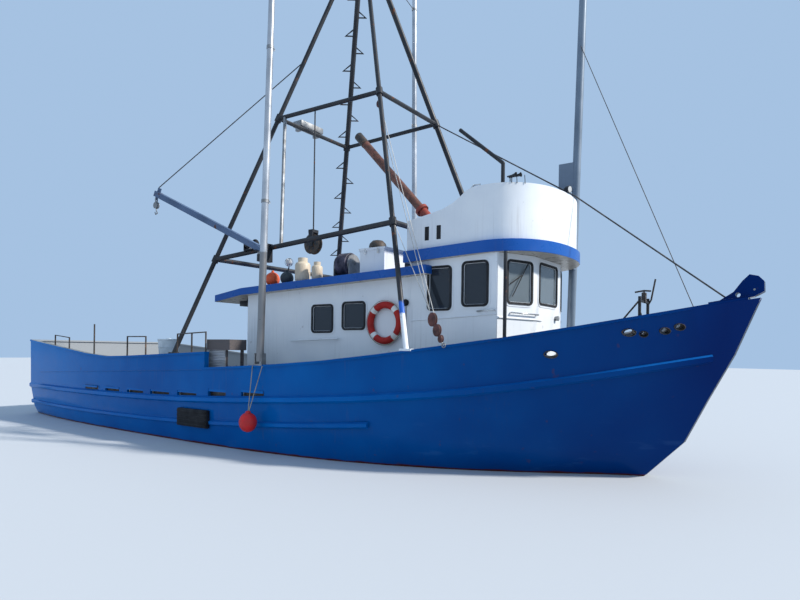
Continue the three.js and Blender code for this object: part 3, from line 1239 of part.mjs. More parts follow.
function makeBowRoller() {
  const slope = (ramp(FORE_TOP, 8800) - ramp(FORE_TOP, 8300)) / 500;
  const low = ramp(FORE_TOP, 8300) + 22;
  const cheek = [[8300, low + 8], [8420, 2770], [8580, 2875], [8695, 3035], [8785, 3125], [8900, 3095],
    [8970, 3020], [8975, 2870], [8880, low + slope * 580 + 8]];
  const cheeks = [-1, 1].map((side) => sidePlate(cheek, side > 0 ? ROLLER_HALF + 8 : -ROLLER_HALF - 30,
    side > 0 ? ROLLER_HALF + 30 : -ROLLER_HALF - 8));
  const slab = sidePlate([[8300, low - 3], [8870, low + slope * 570 - 3], [8870, low + slope * 570 + 28],
    [8300, low + 28]], -600, 600);
  const plan = planPlate([[8300, -430], [8780, -110], [8860, -92], [8860, 92], [8780, 110],
    [8300, 430]], 2000, 3500);
  const bore = bar(at(ROLLER.x, -200, ROLLER.z), at(ROLLER.x, 200, ROLLER.z), 16, 12);
  const hole = bar(at(8640, -300, 2830), at(8640, 300, 2830), 34, 12);
  return seatOnRail(seatOnRail(union([...cheeks, slab.intersect(plan)]), 1), -1).subtract(bore).subtract(hole)
    .subtract(bar(at(ROLLER.x, -ROLLER_HALF - 6, ROLLER.z), at(ROLLER.x, ROLLER_HALF + 6, ROLLER.z), 83, 18));
}

function makeRoller() {
  return lathe([[-ROLLER_HALF - 32, 0], [-ROLLER_HALF - 32, 15], [-ROLLER_HALF, 15], [-ROLLER_HALF, 75],
    [-15, 45], [15, 45], [ROLLER_HALF, 75], [ROLLER_HALF, 15], [ROLLER_HALF + 32, 15], [ROLLER_HALF + 32, 0]],
  ROLLER, at(0, 1, 0), 18);
}

addPart('bow_roller_cheeks', makeBowRoller(), HULL_BLUE, 0.4, 0.1);
addPart('bow_roller', makeRoller(), STEEL_GREY, 0.5, 0.5);

// Fender float hung by two lanyards over the rail.
const FENDER = at(1150, -2835, 600);

function makeFender() {
  const ball = new THREE.SphereGeometry(165, 12, 8);
  ball.scale(1, 1, 1.1);
  ball.translate(FENDER.x, FENDER.y, FENDER.z);
  const lines = [-160, 100].map((dx) => {
    const x = FENDER.x + dx;
    const out = ramp(STATIONS, (x - TRANSOM_X) / (STEM_X - TRANSOM_X), TOP_HALF) + 22 + SEAT + 2.5;
    return bar(at(x, -out, railTopZ(x)), at(FENDER.x, FENDER.y, FENDER.z + 120), 8, 6);
  });
  return union([solid(ball), ...lines]);
}

addPart('fender_float', makeFender(), RED, 0.6, 0);

export default group;
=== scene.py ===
"""Dresses a steel fishing trawler: its paint, glass, deck gear, lights and rigging.

Lengths are metres, +X to the bow, +Y to port, +Z up, with the waterline at Z = 0.
"""

from __future__ import annotations

import logging
import math
from dataclasses import dataclass, field
from enum import Enum
from typing import Sequence

import bmesh
import bpy
from mathutils import Matrix, Vector
from mathutils.bvhtree import BVHTree

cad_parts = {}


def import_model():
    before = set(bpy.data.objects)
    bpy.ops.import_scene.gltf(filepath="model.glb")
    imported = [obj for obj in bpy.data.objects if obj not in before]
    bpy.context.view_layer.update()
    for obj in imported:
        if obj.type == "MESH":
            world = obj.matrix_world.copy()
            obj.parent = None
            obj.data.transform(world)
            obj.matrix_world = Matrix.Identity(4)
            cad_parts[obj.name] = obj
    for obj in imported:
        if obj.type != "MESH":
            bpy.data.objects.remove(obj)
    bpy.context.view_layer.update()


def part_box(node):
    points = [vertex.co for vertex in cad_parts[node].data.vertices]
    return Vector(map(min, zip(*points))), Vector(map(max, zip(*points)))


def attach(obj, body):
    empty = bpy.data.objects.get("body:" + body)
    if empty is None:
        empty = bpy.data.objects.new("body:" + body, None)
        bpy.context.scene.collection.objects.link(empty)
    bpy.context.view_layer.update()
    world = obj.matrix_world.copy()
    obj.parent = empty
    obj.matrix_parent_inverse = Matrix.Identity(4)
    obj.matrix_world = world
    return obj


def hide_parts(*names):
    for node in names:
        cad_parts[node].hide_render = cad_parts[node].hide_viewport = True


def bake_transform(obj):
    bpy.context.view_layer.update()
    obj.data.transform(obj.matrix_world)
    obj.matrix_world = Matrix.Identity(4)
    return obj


LOG = logging.getLogger("trawler")
Point = Sequence[float]
Row = Sequence[float]
Profile = Sequence[tuple[float, float]]
Colour = tuple[float, float, float]
BOAT = "boat"
AHEAD: Point = (1, 0, 0)
ACROSS: Point = (0, 1, 0)
UP: Point = (0, 0, 1)
DOWN: Point = (0, 0, -1)
EVEN: Point = (1, 1, 1)
MERGE = 1e-5
POLE_FOOT: Point = (1.12, 2.545, 1.7935)
POLE_LEAN = math.radians(1.4)
RUST: Colour = (0.1, 0.036, 0.016)
FLAKES: Colour = (0.33, 0.14, 0.05)
GRIME: Colour = (0.12, 0.1, 0.085)
LENS_RIB: Colour = (0.8, 0.8, 0.8)
PIPE_BLACK: tuple[Colour, Colour] = ((0.012, 0.014, 0.018), (0.035, 0.037, 0.042))


class Side(Enum):
    """The two sides of the boat, by the sign of Y."""

    STARBOARD = -1
    PORT = 1

    @property
    def label(self) -> str:
        """The side's name, as names of pieces have it."""
        return self.name.lower()


class Weather(Enum):
    """How far a painted surface has gone: share of streaks, share of rust."""

    FRESH = (0.1, 0.0)
    WORN = (0.22, 0.1)
    RUSTY = (0.55, 0.35)


class Shader:
    """A material whose colour, roughness and bump come from noise on Object coordinates."""

    def __init__(self, name: str) -> None:
        """Starts a material with one Principled shader.

        Args:
            name: the material's name.
        """
        self.material = bpy.data.materials.new(name)
        self.material.use_nodes = True
        self.tree = self.material.node_tree
        self.tree.nodes.clear()
        self.surface = self.node("BsdfPrincipled")
        self.node("OutputMaterial", Surface=self.surface.outputs[0])
        self.place = self.node("TexCoord").outputs["Object"]

    def put(self, socket: bpy.types.NodeSocket, value: object) -> None:
        """Sets a socket.

        Args:
            socket: the input to fill.
            value: another socket, a number, a vector or a colour.
        """
        if isinstance(value, bpy.types.NodeSocket):
            self.tree.links.new(value, socket)
        elif socket.type == "RGBA":
            socket.default_value = (*value, 1.0)
        else:
            socket.default_value = value

    def fill(self, node: bpy.types.Node, **values: object) -> None:
        """Fills a node's inputs by name, with _ for a space."""
        for name, value in values.items():
            self.put(node.inputs[name.replace("_", " ")], value)

    def set(self, **values: object) -> None:
        """Fills inputs of the surface's shader by name, with _ for a space."""
        self.fill(self.surface, **values)

    def node(self, kind: str, **values: object) -> bpy.types.Node:
        """Adds a node.

        Args:
            kind: the node's type, without the words that all types start with.
            values: its inputs by name, with _ for a space.

        Returns:
            The new node.
        """
        node = self.tree.nodes.new("ShaderNode" + kind)
        self.fill(node, **values)
        return node

    def noise(self, scale: float, detail: float = 4.0, stretch: Point = EVEN) -> bpy.types.NodeSocket:
        """A noise value.

        Args:
            scale: cells to the metre.
            detail: octaves of detail.
            stretch: scale along each axis.

        Returns:
            The noise's value socket.
        """
        place = self.node("Mapping", Vector=self.place, Scale=stretch).outputs[0]
        return self.node("TexNoise", Scale=scale, Detail=detail, Vector=place).outputs[0]

    def window(self, value: object, low: float, high: float, top: float = 1.0) -> bpy.types.NodeSocket:
        """Maps low to 0 and high to top, clamped at both ends.

        Args:
            value: the socket to map.
            low: the value that gives 0.
            high: the value that gives top.
            top: the highest result.

        Returns:
            The mapped value's socket.
        """
        node = self.node("MapRange", Value=value, From_Min=low, From_Max=high, To_Max=top)
        return node.outputs[0]

    def maths(self, kind: str, first: object, second: object = 0.0) -> bpy.types.NodeSocket:
        """One arithmetic step on two values.

        Args:
            kind: the operation's name.
            first: a number or its socket.
            second: a number or its socket.

        Returns:
            The result's socket.
        """
        node = self.node("Math")
        node.operation = kind
        self.put(node.inputs[0], first)
        self.put(node.inputs[1], second)
        return node.outputs[0]

    def plus(self, first: object, second: object) -> bpy.types.NodeSocket:
        """The sum of two values."""
        return self.maths("ADD", first, second)

    def times(self, first: object, second: object) -> bpy.types.NodeSocket:
        """The product of two values."""
        return self.maths("MULTIPLY", first, second)

    def mix(self, share: object, first: object, second: object) -> bpy.types.NodeSocket:
        """A colour between two colours.

        Args:
            share: how much of the second shows.
            first: a colour or its socket.
            second: a colour or its socket.

        Returns:
            The mixed colour's socket.
        """
        node = self.node("Mix")
        node.data_type = "RGBA"
        for index, value in ((0, share), (6, first), (7, second)):
            self.put(node.inputs[index], value)
        return node.outputs[2]

    def split(self) -> bpy.types.NodeSocketCollection:
        """The X, Y and Z of Object coordinates."""
        return self.node("SeparateXYZ", Vector=self.place).outputs

    def normal(self) -> bpy.types.NodeSocketCollection:
        """The X, Y and Z of the surface's normal."""
        return self.node("SeparateXYZ", Vector=self.node("NewGeometry").outputs["Normal"]).outputs

    def facing(self, least: float, most: float) -> bpy.types.NodeSocket:
        """0 to 1 as a face's upward look goes from least to most."""
        return self.window(self.normal()[2], least, most)

    def inboard(self, after_end: float) -> bpy.types.NodeSocket:
        """1 on faces that look toward the centreline, or forward abaft the after end.

        Args:
            after_end: the X abaft which faces that look forward are inside.

        Returns:
            The share's socket.
        """
        normal, place = self.normal(), self.split()
        outward = self.times(self.maths("SIGN", place[1]), normal[1])
        abaft = self.window(place[0], after_end + 0.05, after_end)
        forward = self.times(self.window(normal[0], 0.5, 0.7), abaft)
        return self.maths("MAXIMUM", self.window(outward, -0.3, -0.45), forward)

    def bump(self, height: object, depth: float, strength: float = 0.5) -> None:
        """Raises the surface by a height.

        Args:
            height: the height's socket.
            depth: how far a height of 1 stands out, in metres.
            strength: share of the effect.
        """
        raised = self.node("Bump", Strength=strength, Distance=depth, Height=height)
        self.set(Normal=raised.outputs[0])


@dataclass(frozen=True)
class Finish:
    """A material's name, its slot in the record and its colour; as it stands, a plain matt coat."""

    name: str
    slot: str
    colour: Colour

    def build(self) -> bpy.types.Material:
        """Makes the material.

        Returns:
            The finished material.
        """
        shader = Shader(self.name)
        self.cover(shader)
        return shader.material

    def cover(self, shader: Shader) -> None:
        """Gives the material its look."""
        shader.set(Base_Color=self.colour, Roughness=0.75)


@dataclass(frozen=True)
class Paint(Finish):
    """Brushed marine paint over steel, with streaks and rust that come through."""

    shade: Colour
    weather: Weather = Weather.WORN
    roughness: float = 0.38
    metallic: float = 0.0
    patch: float = 1.3

    def coat(self, shader: Shader) -> tuple[object, object]:
        """The paint's own colour and its rust.

        Args:
            shader: the material being made.

        Returns:
            The colour's socket and the rust mask's socket.
        """
        streaks, rust = self.weather.value
        base = shader.mix(shader.window(shader.noise(self.patch, 5.0), 0.35, 0.68), self.colour, self.shade)
        runs = shader.window(shader.noise(1.0, 5.0, (24.0, 24.0, 0.9)), 0.55, 0.78, streaks)
        runs = shader.times(runs, shader.window(shader.noise(0.9, 2.0), 0.46, 0.64))
        pits = shader.window(shader.noise(7.0, 8.0), 0.70 - 0.16 * rust, 0.76 - 0.12 * rust,
                             min(1.0, rust * 3.0))
        return shader.mix(runs, base, GRIME), pits

    def cover(self, shader: Shader) -> None:
        """Lays the coat, rougher where it rusts, with brush marks.

        Args:
            shader: the material being made.
        """
        base, pits = self.coat(shader)
        gloss = shader.window(shader.noise(5.0, 4.0), 0.2, 0.8, 0.22)
        shader.set(Base_Color=shader.mix(pits, base, RUST), Metallic=self.metallic, Specular_IOR_Level=0.3)
        shader.set(Roughness=shader.plus(shader.plus(gloss, self.roughness - 0.1), shader.times(pits, 0.35)))
        brush = shader.times(shader.noise(60.0, 3.0), 0.12)
        shader.bump(shader.plus(shader.noise(2.2, 3.0), brush), 0.012, 0.35)


@dataclass(frozen=True)
class TrimPaint(Paint):
    """Paint on an overhang's edge, with painted shade and a painted warm reflection on its underside."""

    # Painted shade and warm reflected light on faces that look down.
    under: Colour = (0.42, 0.38, 0.33)

    def coat(self, shader: Shader) -> tuple[object, object]:
        """The edge's colour, the underside's painted shade and warm reflection, and the rust.

        Args:
            shader: the material being made.

        Returns:
            The colour's socket and the rust mask's socket.
        """
        base, pits = super().coat(shader)
        # Faces that look down get the painted shade and warm reflection.
        return shader.mix(shader.facing(-0.85, -0.95), base, self.under), pits


@dataclass(frozen=True)
class HullPaint(Paint):
    """Hull paint: lighter aft as a painted sky reflection and darker toward the bow as painted shade,
    antifouling below, deck paint on top (painted shade on the rub rails' tops), grey inside.
    """

    # Painted light: a painted sky reflection makes the sides lighter aft, and painted shade makes them darker
    # at the bow, whose flare turns from the sky.
    after: Colour = (0.008, 0.19, 0.55)
    fore: Colour = (0.0, 0.018, 0.12)
    scuffed: Colour = (0.08, 0.2, 0.42)
    antifouling: Colour = (0.1, 0.02, 0.015)
    deck: Colour = (0.17, 0.19, 0.19)
    worn_deck: Colour = (0.25, 0.26, 0.25)
    inside: Colour = (0.3, 0.32, 0.34)
    after_end: float = -7.8
    waterline: tuple[float, float] = (0.05, 0.03)

    def cover(self, shader: Shader) -> None:
        """Lays the coats and the painted light by length, by height and by the way that each face looks.

        Args:
            shader: the material being made.
        """
        place = shader.split()
        base, pits = self.coat(shader)
        # Painted sky reflection aft and painted shade toward the bow, along the length.
        painted_light_along = shader.plus(place[0], shader.times(shader.noise(0.5, 2.0), 3.0))
        base = shader.mix(shader.window(painted_light_along, -7.5, -1.5), self.after, base)
        base = shader.mix(shader.window(painted_light_along, 3.5, 10.0), base, self.fore)
        scuffs = shader.window(shader.noise(3.0, 8.0, (0.5, 0.5, 2.0)), 0.62, 0.72, 0.15)
        base = shader.mix(shader.times(scuffs, shader.window(place[2], 1.1, 0.2)), base, self.scuffed)
        height = shader.plus(place[2], shader.window(shader.noise(3.0), 0.3, 0.7, 0.02))
        below = shader.window(height, *self.waterline)
        base = shader.mix(below, shader.mix(pits, base, RUST), self.antifouling)
        base = shader.mix(shader.inboard(self.after_end), base, shader.mix(pits, self.inside, RUST))
        # Top faces: deck paint on the hull; on the rub rails, painted shade, darker than their sides.
        top = shader.facing(0.75, 0.85)
        deck_paint_and_rail_top_shade = shader.mix(shader.window(shader.noise(4.0, 6.0), 0.4, 0.7), self.deck, self.worn_deck)
        shader.set(Base_Color=shader.mix(top, base, deck_paint_and_rail_top_shade), Specular_IOR_Level=0.06)
        worn = shader.times(shader.maths("MAXIMUM", top, pits), 0.4)
        shader.set(Roughness=shader.plus(worn, shader.window(shader.noise(4.0), 0.2, 0.8, 0.2)))
        fine = shader.times(shader.noise(70.0, 2.0), 0.05)
        shader.bump(shader.plus(shader.noise(1.1, 2.0, (1.0, 1.0, 0.8)), fine), 0.03, 0.4)


@dataclass(frozen=True)
class BandedPipe(Paint):
    """A pipe whose paint changes colour below certain heights."""

    bands: tuple[tuple[float, Colour], ...] = ()

    def coat(self, shader: Shader) -> tuple[object, object]:
        """The banded colour and its rust.

        Args:
            shader: the material being made.

        Returns:
            The colour's socket and the rust mask's socket.
        """
        base, pits = super().coat(shader)
        height = shader.plus(shader.split()[2], shader.window(shader.noise(14.0, 5.0), 0.3, 0.7, 0.06))
        for top, colour in self.bands:
            base = shader.mix(shader.window(height, top + 0.04, top), base, colour)
        return base, pits


@dataclass(frozen=True)
class Metal(Finish):
    """Bare or plated metal with dull patches and wear that runs along a stretch."""

    shade: Colour
    roughness: float
    stretch: Point

    def cover(self, shader: Shader) -> None:
        """Lays the metal.

        Args:
            shader: the material being made.
        """
        brushed = shader.noise(2.0, 6.0, self.stretch)
        shader.set(Base_Color=shader.mix(shader.window(brushed, 0.35, 0.7), self.colour, self.shade))
        dull = shader.window(shader.noise(6.0, 5.0), 0.25, 0.75, 0.25)
        shader.set(Roughness=shader.plus(dull, self.roughness), Metallic=0.85)
        shader.bump(brushed, 0.002, 0.3)


@dataclass(frozen=True)
class Corroded(Finish):
    """Heat-scaled, rusting steel."""

    shade: Colour

    def cover(self, shader: Shader) -> None:
        """Lays the scale and its flakes.

        Args:
            shader: the material being made.
        """
        scale = shader.noise(9.0, 10.0)
        flakes = shader.noise(32.0, 6.0)
        base = shader.mix(shader.window(scale, 0.35, 0.65), self.colour, self.shade)
        shader.set(Base_Color=shader.mix(shader.window(flakes, 0.6, 0.7, 0.5), base, FLAKES))
        shader.set(Roughness=shader.window(scale, 0.0, 1.0, 1.1), Metallic=0.15)
        shader.bump(shader.plus(scale, shader.times(flakes, 0.5)), 0.006, 0.7)


@dataclass(frozen=True)
class Moulding(Finish):
    """Plastic, rubber, foam, vinyl or rope: soft sheen, fine grain and faded patches."""

    shade: Colour
    roughness: float = 0.5
    grain: float = 140.0
    depth: float = 0.0015

    def cover(self, shader: Shader) -> None:
        """Lays the skin.

        Args:
            shader: the material being made.
        """
        fade = shader.window(shader.noise(6.0, 6.0), 0.38, 0.68)
        shader.set(Base_Color=shader.mix(fade, self.colour, self.shade), Specular_IOR_Level=0.3)
        sheen = shader.window(shader.noise(18.0, 3.0), 0.2, 0.8, 0.18)
        shader.set(Roughness=shader.plus(sheen, self.roughness))
        shader.bump(shader.noise(self.grain, 4.0), self.depth, 0.5)


@dataclass(frozen=True)
class Timber(Finish):
    """Weathered planking, grained along X."""

    shade: Colour

    def cover(self, shader: Shader) -> None:
        """Lays the grain.

        Args:
            shader: the material being made.
        """
        grain = shader.noise(3.0, 8.0, (1.2, 16.0, 16.0))
        shader.set(Base_Color=shader.mix(shader.window(grain, 0.35, 0.66), self.colour, self.shade))
        shader.set(Roughness=shader.window(grain, 0.0, 1.0, 1.3))
        shader.bump(grain, 0.004, 0.6)


@dataclass(frozen=True)
class Glazing(Finish):
    """Tinted glass."""

    clear: float

    def cover(self, shader: Shader) -> None:
        """Lays the glass and its smears."""
        smear = shader.window(shader.noise(7.0, 4.0, (1.0, 1.0, 0.4)), 0.45, 0.8, 0.09)
        shader.set(Base_Color=self.colour, IOR=1.45, Transmission_Weight=self.clear,
                   Roughness=shader.plus(smear, 0.02))


@dataclass(frozen=True)
class Lamp(Finish):
    """A lens that is not lit."""

    def cover(self, shader: Shader) -> None:
        """Lays the ribbed glass.

        Args:
            shader: the material being made.
        """
        ribs = shader.noise(90.0, 2.0)
        shader.set(Base_Color=shader.mix(shader.window(ribs, 0.3, 0.7), self.colour, LENS_RIB))
        shader.set(Roughness=0.18, Transmission_Weight=0.3)
        shader.bump(ribs, 0.002, 0.4)


class Store:
    """Every finish on board, each made once."""

    FINISHES = {
        "hull": HullPaint("hull_blue_paint", "hull_blue", (0.001, 0.115, 0.39), (0.001, 0.092, 0.335)),
        # The rub rails' top-face colours are painted shade, darker than their sides, to damp the sun on their
        # tops.
        "rail": HullPaint("rail_blue_paint", "hull_blue", (0.001, 0.14, 0.46), (0.001, 0.115, 0.4),
                          deck=(0.003, 0.1, 0.36), worn_deck=(0.006, 0.12, 0.4)),
        "blue": TrimPaint("trim_blue_paint", "trim_blue", (0.007, 0.092, 0.38), (0.005, 0.075, 0.33),
                          Weather.FRESH, 0.3),
        "white": Paint("house_white_paint", "house_white", (0.76, 0.78, 0.8), (0.68, 0.71, 0.75),
                       roughness=0.4),
        "black": Paint("worn_black_paint", "pipe_black", *PIPE_BLACK, Weather.RUSTY, 0.42),
        "leg": BandedPipe("banded_leg_paint", "pipe_black", *PIPE_BLACK, Weather.RUSTY, 0.42,
                          bands=((2.76, (0.02, 0.12, 0.5)), (2.56, (0.74, 0.77, 0.8)))),
        "boom": Paint("boom_grey_paint", "boom_grey", (0.09, 0.14, 0.24), (0.05, 0.08, 0.14), Weather.RUSTY,
                      0.42),
        "bottle": Paint("bottle_beige_paint", "bottle_beige", (0.55, 0.44, 0.32), (0.62, 0.54, 0.42),
                        roughness=0.42),
        "pole": BandedPipe("dull_aluminium", "pole_grey", (0.55, 0.57, 0.6), (0.3, 0.32, 0.35), Weather.WORN,
                           0.32, 0.6, bands=((3.75, (0.24, 0.235, 0.235)),)),
        "mast": Paint("mast_aluminium", "pole_grey", (0.2, 0.25, 0.31), (0.14, 0.18, 0.23), Weather.FRESH,
                      0.4, 0.2),
        "steel": Metal("galvanised_steel", "steel_grey", (0.34, 0.35, 0.36), (0.2, 0.2, 0.2), 0.42,
                       (4, 4, 4)),
        "bright": Metal("stainless_steel", "steel_grey", (0.7, 0.7, 0.7), (0.5, 0.49, 0.47), 0.16, (3, 3, 3)),
        "bronze": Metal("dull_bronze", "bronze", (0.36, 0.22, 0.07), (0.2, 0.16, 0.08), 0.32, (3, 3, 3)),
        "sheet": Metal("ribbed_sheet", "steel_grey", (0.5, 0.52, 0.55), (0.3, 0.31, 0.33), 0.5, (1, 9, 9)),
        "rust": Corroded("scaled_rust", "rusty_steel", (0.2, 0.07, 0.045), (0.09, 0.045, 0.035)),
        "red_lead": Corroded("red_primer", "rusty_steel", (0.36, 0.05, 0.03), (0.2, 0.04, 0.025)),
        "block": Corroded("block_shell", "rusty_steel", (0.12, 0.035, 0.03), (0.045, 0.02, 0.02)),
        "iron": Corroded("dark_iron", "rusty_steel", (0.03, 0.032, 0.03), (0.07, 0.05, 0.04)),
        "ring": Moulding("ring_cover", "ring_orange", (0.42, 0.02, 0.015), (0.3, 0.012, 0.01), 0.6, 200.0),
        "band": Moulding("ring_band", "ring_orange", (0.75, 0.74, 0.72), (0.55, 0.54, 0.5), 0.5, 200.0),
        "float": Moulding("faded_float", "float_orange", (0.75, 0.09, 0.02), (0.6, 0.12, 0.05), 0.42),
        "dark_float": Moulding("dark_float", "float_dark", (0.025, 0.035, 0.045), (0.06, 0.075, 0.085), 0.55),
        "red": Moulding("scuffed_fender", "float_red", (0.68, 0.02, 0.022), (0.5, 0.03, 0.03), 0.38),
        "rubber": Moulding("black_rubber", "black_hose", (0.008, 0.008, 0.01), (0.025, 0.025, 0.028), 0.6),
        "hose": Moulding("reel_hose", "black_hose", (0.02, 0.022, 0.04), (0.11, 0.1, 0.14), 0.45),
        "vinyl": Moulding("seat_vinyl", "seat_black", (0.02, 0.02, 0.022), (0.04, 0.04, 0.042), 0.5, 320.0),
        "tote": Moulding("scuffed_tote", "tote_white", (0.68, 0.74, 0.78), (0.56, 0.62, 0.66), 0.5),
        "rope": Moulding("laid_rope", "tote_white", (0.42, 0.37, 0.28), (0.27, 0.23, 0.17), 0.85, 420.0,
                         0.003),
        "pale_rope": Moulding("pale_rope", "tote_white", (0.6, 0.58, 0.54), (0.4, 0.38, 0.36), 0.85, 420.0,
                              0.003),
        "wire": Moulding("stay_wire", "steel_grey", (0.035, 0.037, 0.042), (0.1, 0.09, 0.085), 0.5, 500.0),
        "timber": Timber("weathered_timber", "wood", (0.055, 0.05, 0.052), (0.11, 0.09, 0.09)),
        "glass": Glazing("tinted_glass", "seat_black", (0.05, 0.06, 0.075), 0.5),
        "front_glass": Glazing("front_glass", "seat_black", (0.3, 0.36, 0.4), 0.6),
        "lens": Lamp("lamp_lens", "tote_white", (0.6, 0.62, 0.6)),
    }

    def __init__(self) -> None:
        """Makes every material."""
        self.made = {key: finish.build() for key, finish in self.FINISHES.items()}

    def material(self, key: str) -> bpy.types.Material:
        """The material of a finish."""
        return self.made[key]

    def slot(self, key: str) -> str:
        """The record's slot of a finish."""
        return self.FINISHES[key].slot


class Piece:
    """One mesh being modelled, which then rides on a body."""

    def __init__(self, store: Store, name: str, finish: str, body: str = BOAT) -> None:
        """Starts an empty mesh.

        Args:
            store: the finishes on board.
            name: the piece's name.
            finish: the key of its finish.
            body: the body that it rides on.
        """
        self.store = store
        self.name = name
        self.finish = finish
        self.body = body
        self.mesh = bmesh.new()

    def box(self, low: Point, high: Point, bevel: float = 0.0) -> Piece:
        """Adds a box.

        Args:
            low: its lowest corner.
            high: its highest corner.
            bevel: how far its edges are rounded.

        Returns:
            This piece.
        """
        size = [high[i] - low[i] for i in range(3)]
        middle = [(high[i] + low[i]) / 2 for i in range(3)]
        place = Matrix.Translation(middle) @ Matrix.Diagonal((*size, 1.0))
        made = bmesh.ops.create_cube(self.mesh, size=1.0, matrix=place)
        if bevel:
            edges = {edge for vert in made["verts"] for edge in vert.link_edges}
            bmesh.ops.bevel(self.mesh, geom=list(edges), offset=bevel, affect="EDGES", segments=2,
                            profile=0.5, material=-1, clamp_overlap=True)
        return self

    def rod(self, start: Point, end: Point, radius: float, sides: int = 16,
            tip: float | None = None) -> Piece:
        """Adds a round bar between two points.

        Args:
            start: the middle of its first end.
            end: the middle of its last end.
            radius: its radius at the start.
            sides: how many sides it has.
            tip: its radius at the end.

        Returns:
            This piece.
        """
        start, end = Vector(start), Vector(end)
        turn = (end - start).to_track_quat("Z", "Y").to_matrix().to_4x4()
        bmesh.ops.create_cone(self.mesh, cap_ends=True, segments=sides, radius1=radius,
                              radius2=radius if tip is None else tip, depth=(end - start).length,
                              matrix=Matrix.Translation((start + end) / 2) @ turn)
        return self

    def ball(self, centre: Point, radius: float, stretch: Point = EVEN) -> Piece:
        """Adds a ball.

        Args:
            centre: its middle.
            radius: its radius before it is stretched.
            stretch: its growth along each axis.

        Returns:
            This piece.
        """
        place = Matrix.Translation(centre) @ Matrix.Diagonal((*stretch, 1.0))
        bmesh.ops.create_uvsphere(self.mesh, u_segments=28, v_segments=16, radius=radius, matrix=place)
        return self

    def turned(self, profile: Profile, centre: Point, axis: Point, steps: int = 32) -> Piece:
        """Adds a shape turned on an axis.

        Args:
            profile: pairs of a distance along the axis and a radius.
            centre: where the axis starts.
            axis: which way the axis points.
            steps: how many steps make the turn.

        Returns:
            This piece.
        """
        axis = Vector(axis).normalized()
        across = axis.orthogonal().normalized()
        middle = Vector(centre)
        verts = [self.mesh.verts.new(middle + axis * along + across * out) for along, out in profile]
        edges = [self.mesh.edges.new(pair) for pair in zip(verts, verts[1:])]
        bmesh.ops.spin(self.mesh, geom=verts + edges, cent=middle, axis=axis, angle=2 * math.pi, steps=steps,
                       use_merge=True)
        return self

    def hoop(self, centre: Point, axis: Point, radius: float, tube: float,
             arc: tuple[float, float] = (0.0, 360.0), steps: int = 40, sides: int = 12) -> Piece:
        """Adds a ring or a part of one, with closed ends.

        Args:
            centre: the ring's middle.
            axis: the ring's axis.
            radius: from the axis to the middle of the tube.
            tube: the tube's radius.
            arc: where it starts and how far it goes, in degrees.
            steps: how many steps it has.
            sides: how many sides the tube has.

        Returns:
            This piece.
        """
        axis = Vector(axis).normalized()
        across = axis.orthogonal().normalized()
        across.rotate(Matrix.Rotation(math.radians(arc[0]), 3, axis))
        turn = facing_frame(across, axis, axis.cross(across))
        whole = arc[1] >= 360.0
        place = Matrix.Translation(Vector(centre) + across * radius) @ turn
        made = bmesh.ops.create_circle(self.mesh, cap_ends=not whole, segments=sides, radius=tube,
                                       matrix=place)
        geom = list({*made["verts"], *(e for v in made["verts"] for e in v.link_edges),
                     *(f for v in made["verts"] for f in v.link_faces)})
        bmesh.ops.spin(self.mesh, geom=geom, cent=centre, axis=axis, angle=math.radians(arc[1]), steps=steps,
                       use_merge=whole)
        return self

    def panel(self, frame: Matrix, width: float, height: float, radius: float, depth: float,
              rim: float = 0.0) -> Piece:
        """Adds a plate with rounded corners, or only its rim.

        Args:
            frame: its place, with width along X, height along Y and depth along Z.
            width: its width.
            height: its height.
            radius: its corner radius.
            depth: how thick it is.
            rim: how wide a rim stays, or 0 for a full plate.

        Returns:
            This piece.
        """
        work = bmesh.new()
        made = bmesh.ops.create_grid(work, x_segments=1, y_segments=1, size=0.5)
        bmesh.ops.scale(work, vec=(width, height, 1.0), verts=made["verts"])
        bmesh.ops.bevel(work, geom=list(work.verts), offset=radius, affect="VERTICES", segments=6,
                        profile=0.5, material=-1)
        if rim:
            middle = list(work.faces)
            bmesh.ops.inset_region(work, faces=middle, thickness=rim, use_even_offset=True, use_boundary=True)
            bmesh.ops.delete(work, geom=middle, context="FACES")
        raised = bmesh.ops.extrude_face_region(work, geom=list(work.faces))
        top = [item for item in raised["geom"] if isinstance(item, bmesh.types.BMVert)]
        bmesh.ops.translate(work, vec=(0, 0, depth), verts=top)
        return self.adopt(work, frame)

    def oval(self, frame: Matrix, profile: Profile, long: float, high: float,
             steps: int = 28) -> Piece:
        """Adds a shape turned on the frame's Z and stretched to an oval.

        Args:
            frame: its place, with its length along X and its height along Y.
            profile: pairs of a distance along Z and a radius, where 1 is the oval's edge.
            long: half of its length.
            high: half of its height.
            steps: how many steps make the turn.

        Returns:
            This piece.
        """
        work = bmesh.new()
        verts = [work.verts.new((out, 0, along)) for along, out in profile]
        edges = [work.edges.new(pair) for pair in zip(verts, verts[1:])]
        bmesh.ops.spin(work, geom=verts + edges, cent=(0, 0, 0), axis=UP, angle=2 * math.pi, steps=steps,
                       use_merge=True)
        bmesh.ops.scale(work, vec=(long, high, 1.0), verts=list(work.verts))
        return self.adopt(work, frame)

    def adopt(self, work: bmesh.types.BMesh, frame: Matrix) -> Piece:
        """Takes over a shape made on its own.

        Args:
            work: the shape's mesh, which is used up.
            frame: where it goes.

        Returns:
            This piece.
        """
        bmesh.ops.transform(work, matrix=frame, verts=list(work.verts))
        data = bpy.data.meshes.new("part")
        work.to_mesh(data)
        work.free()
        self.mesh.from_mesh(data)
        bpy.data.meshes.remove(data)
        return self

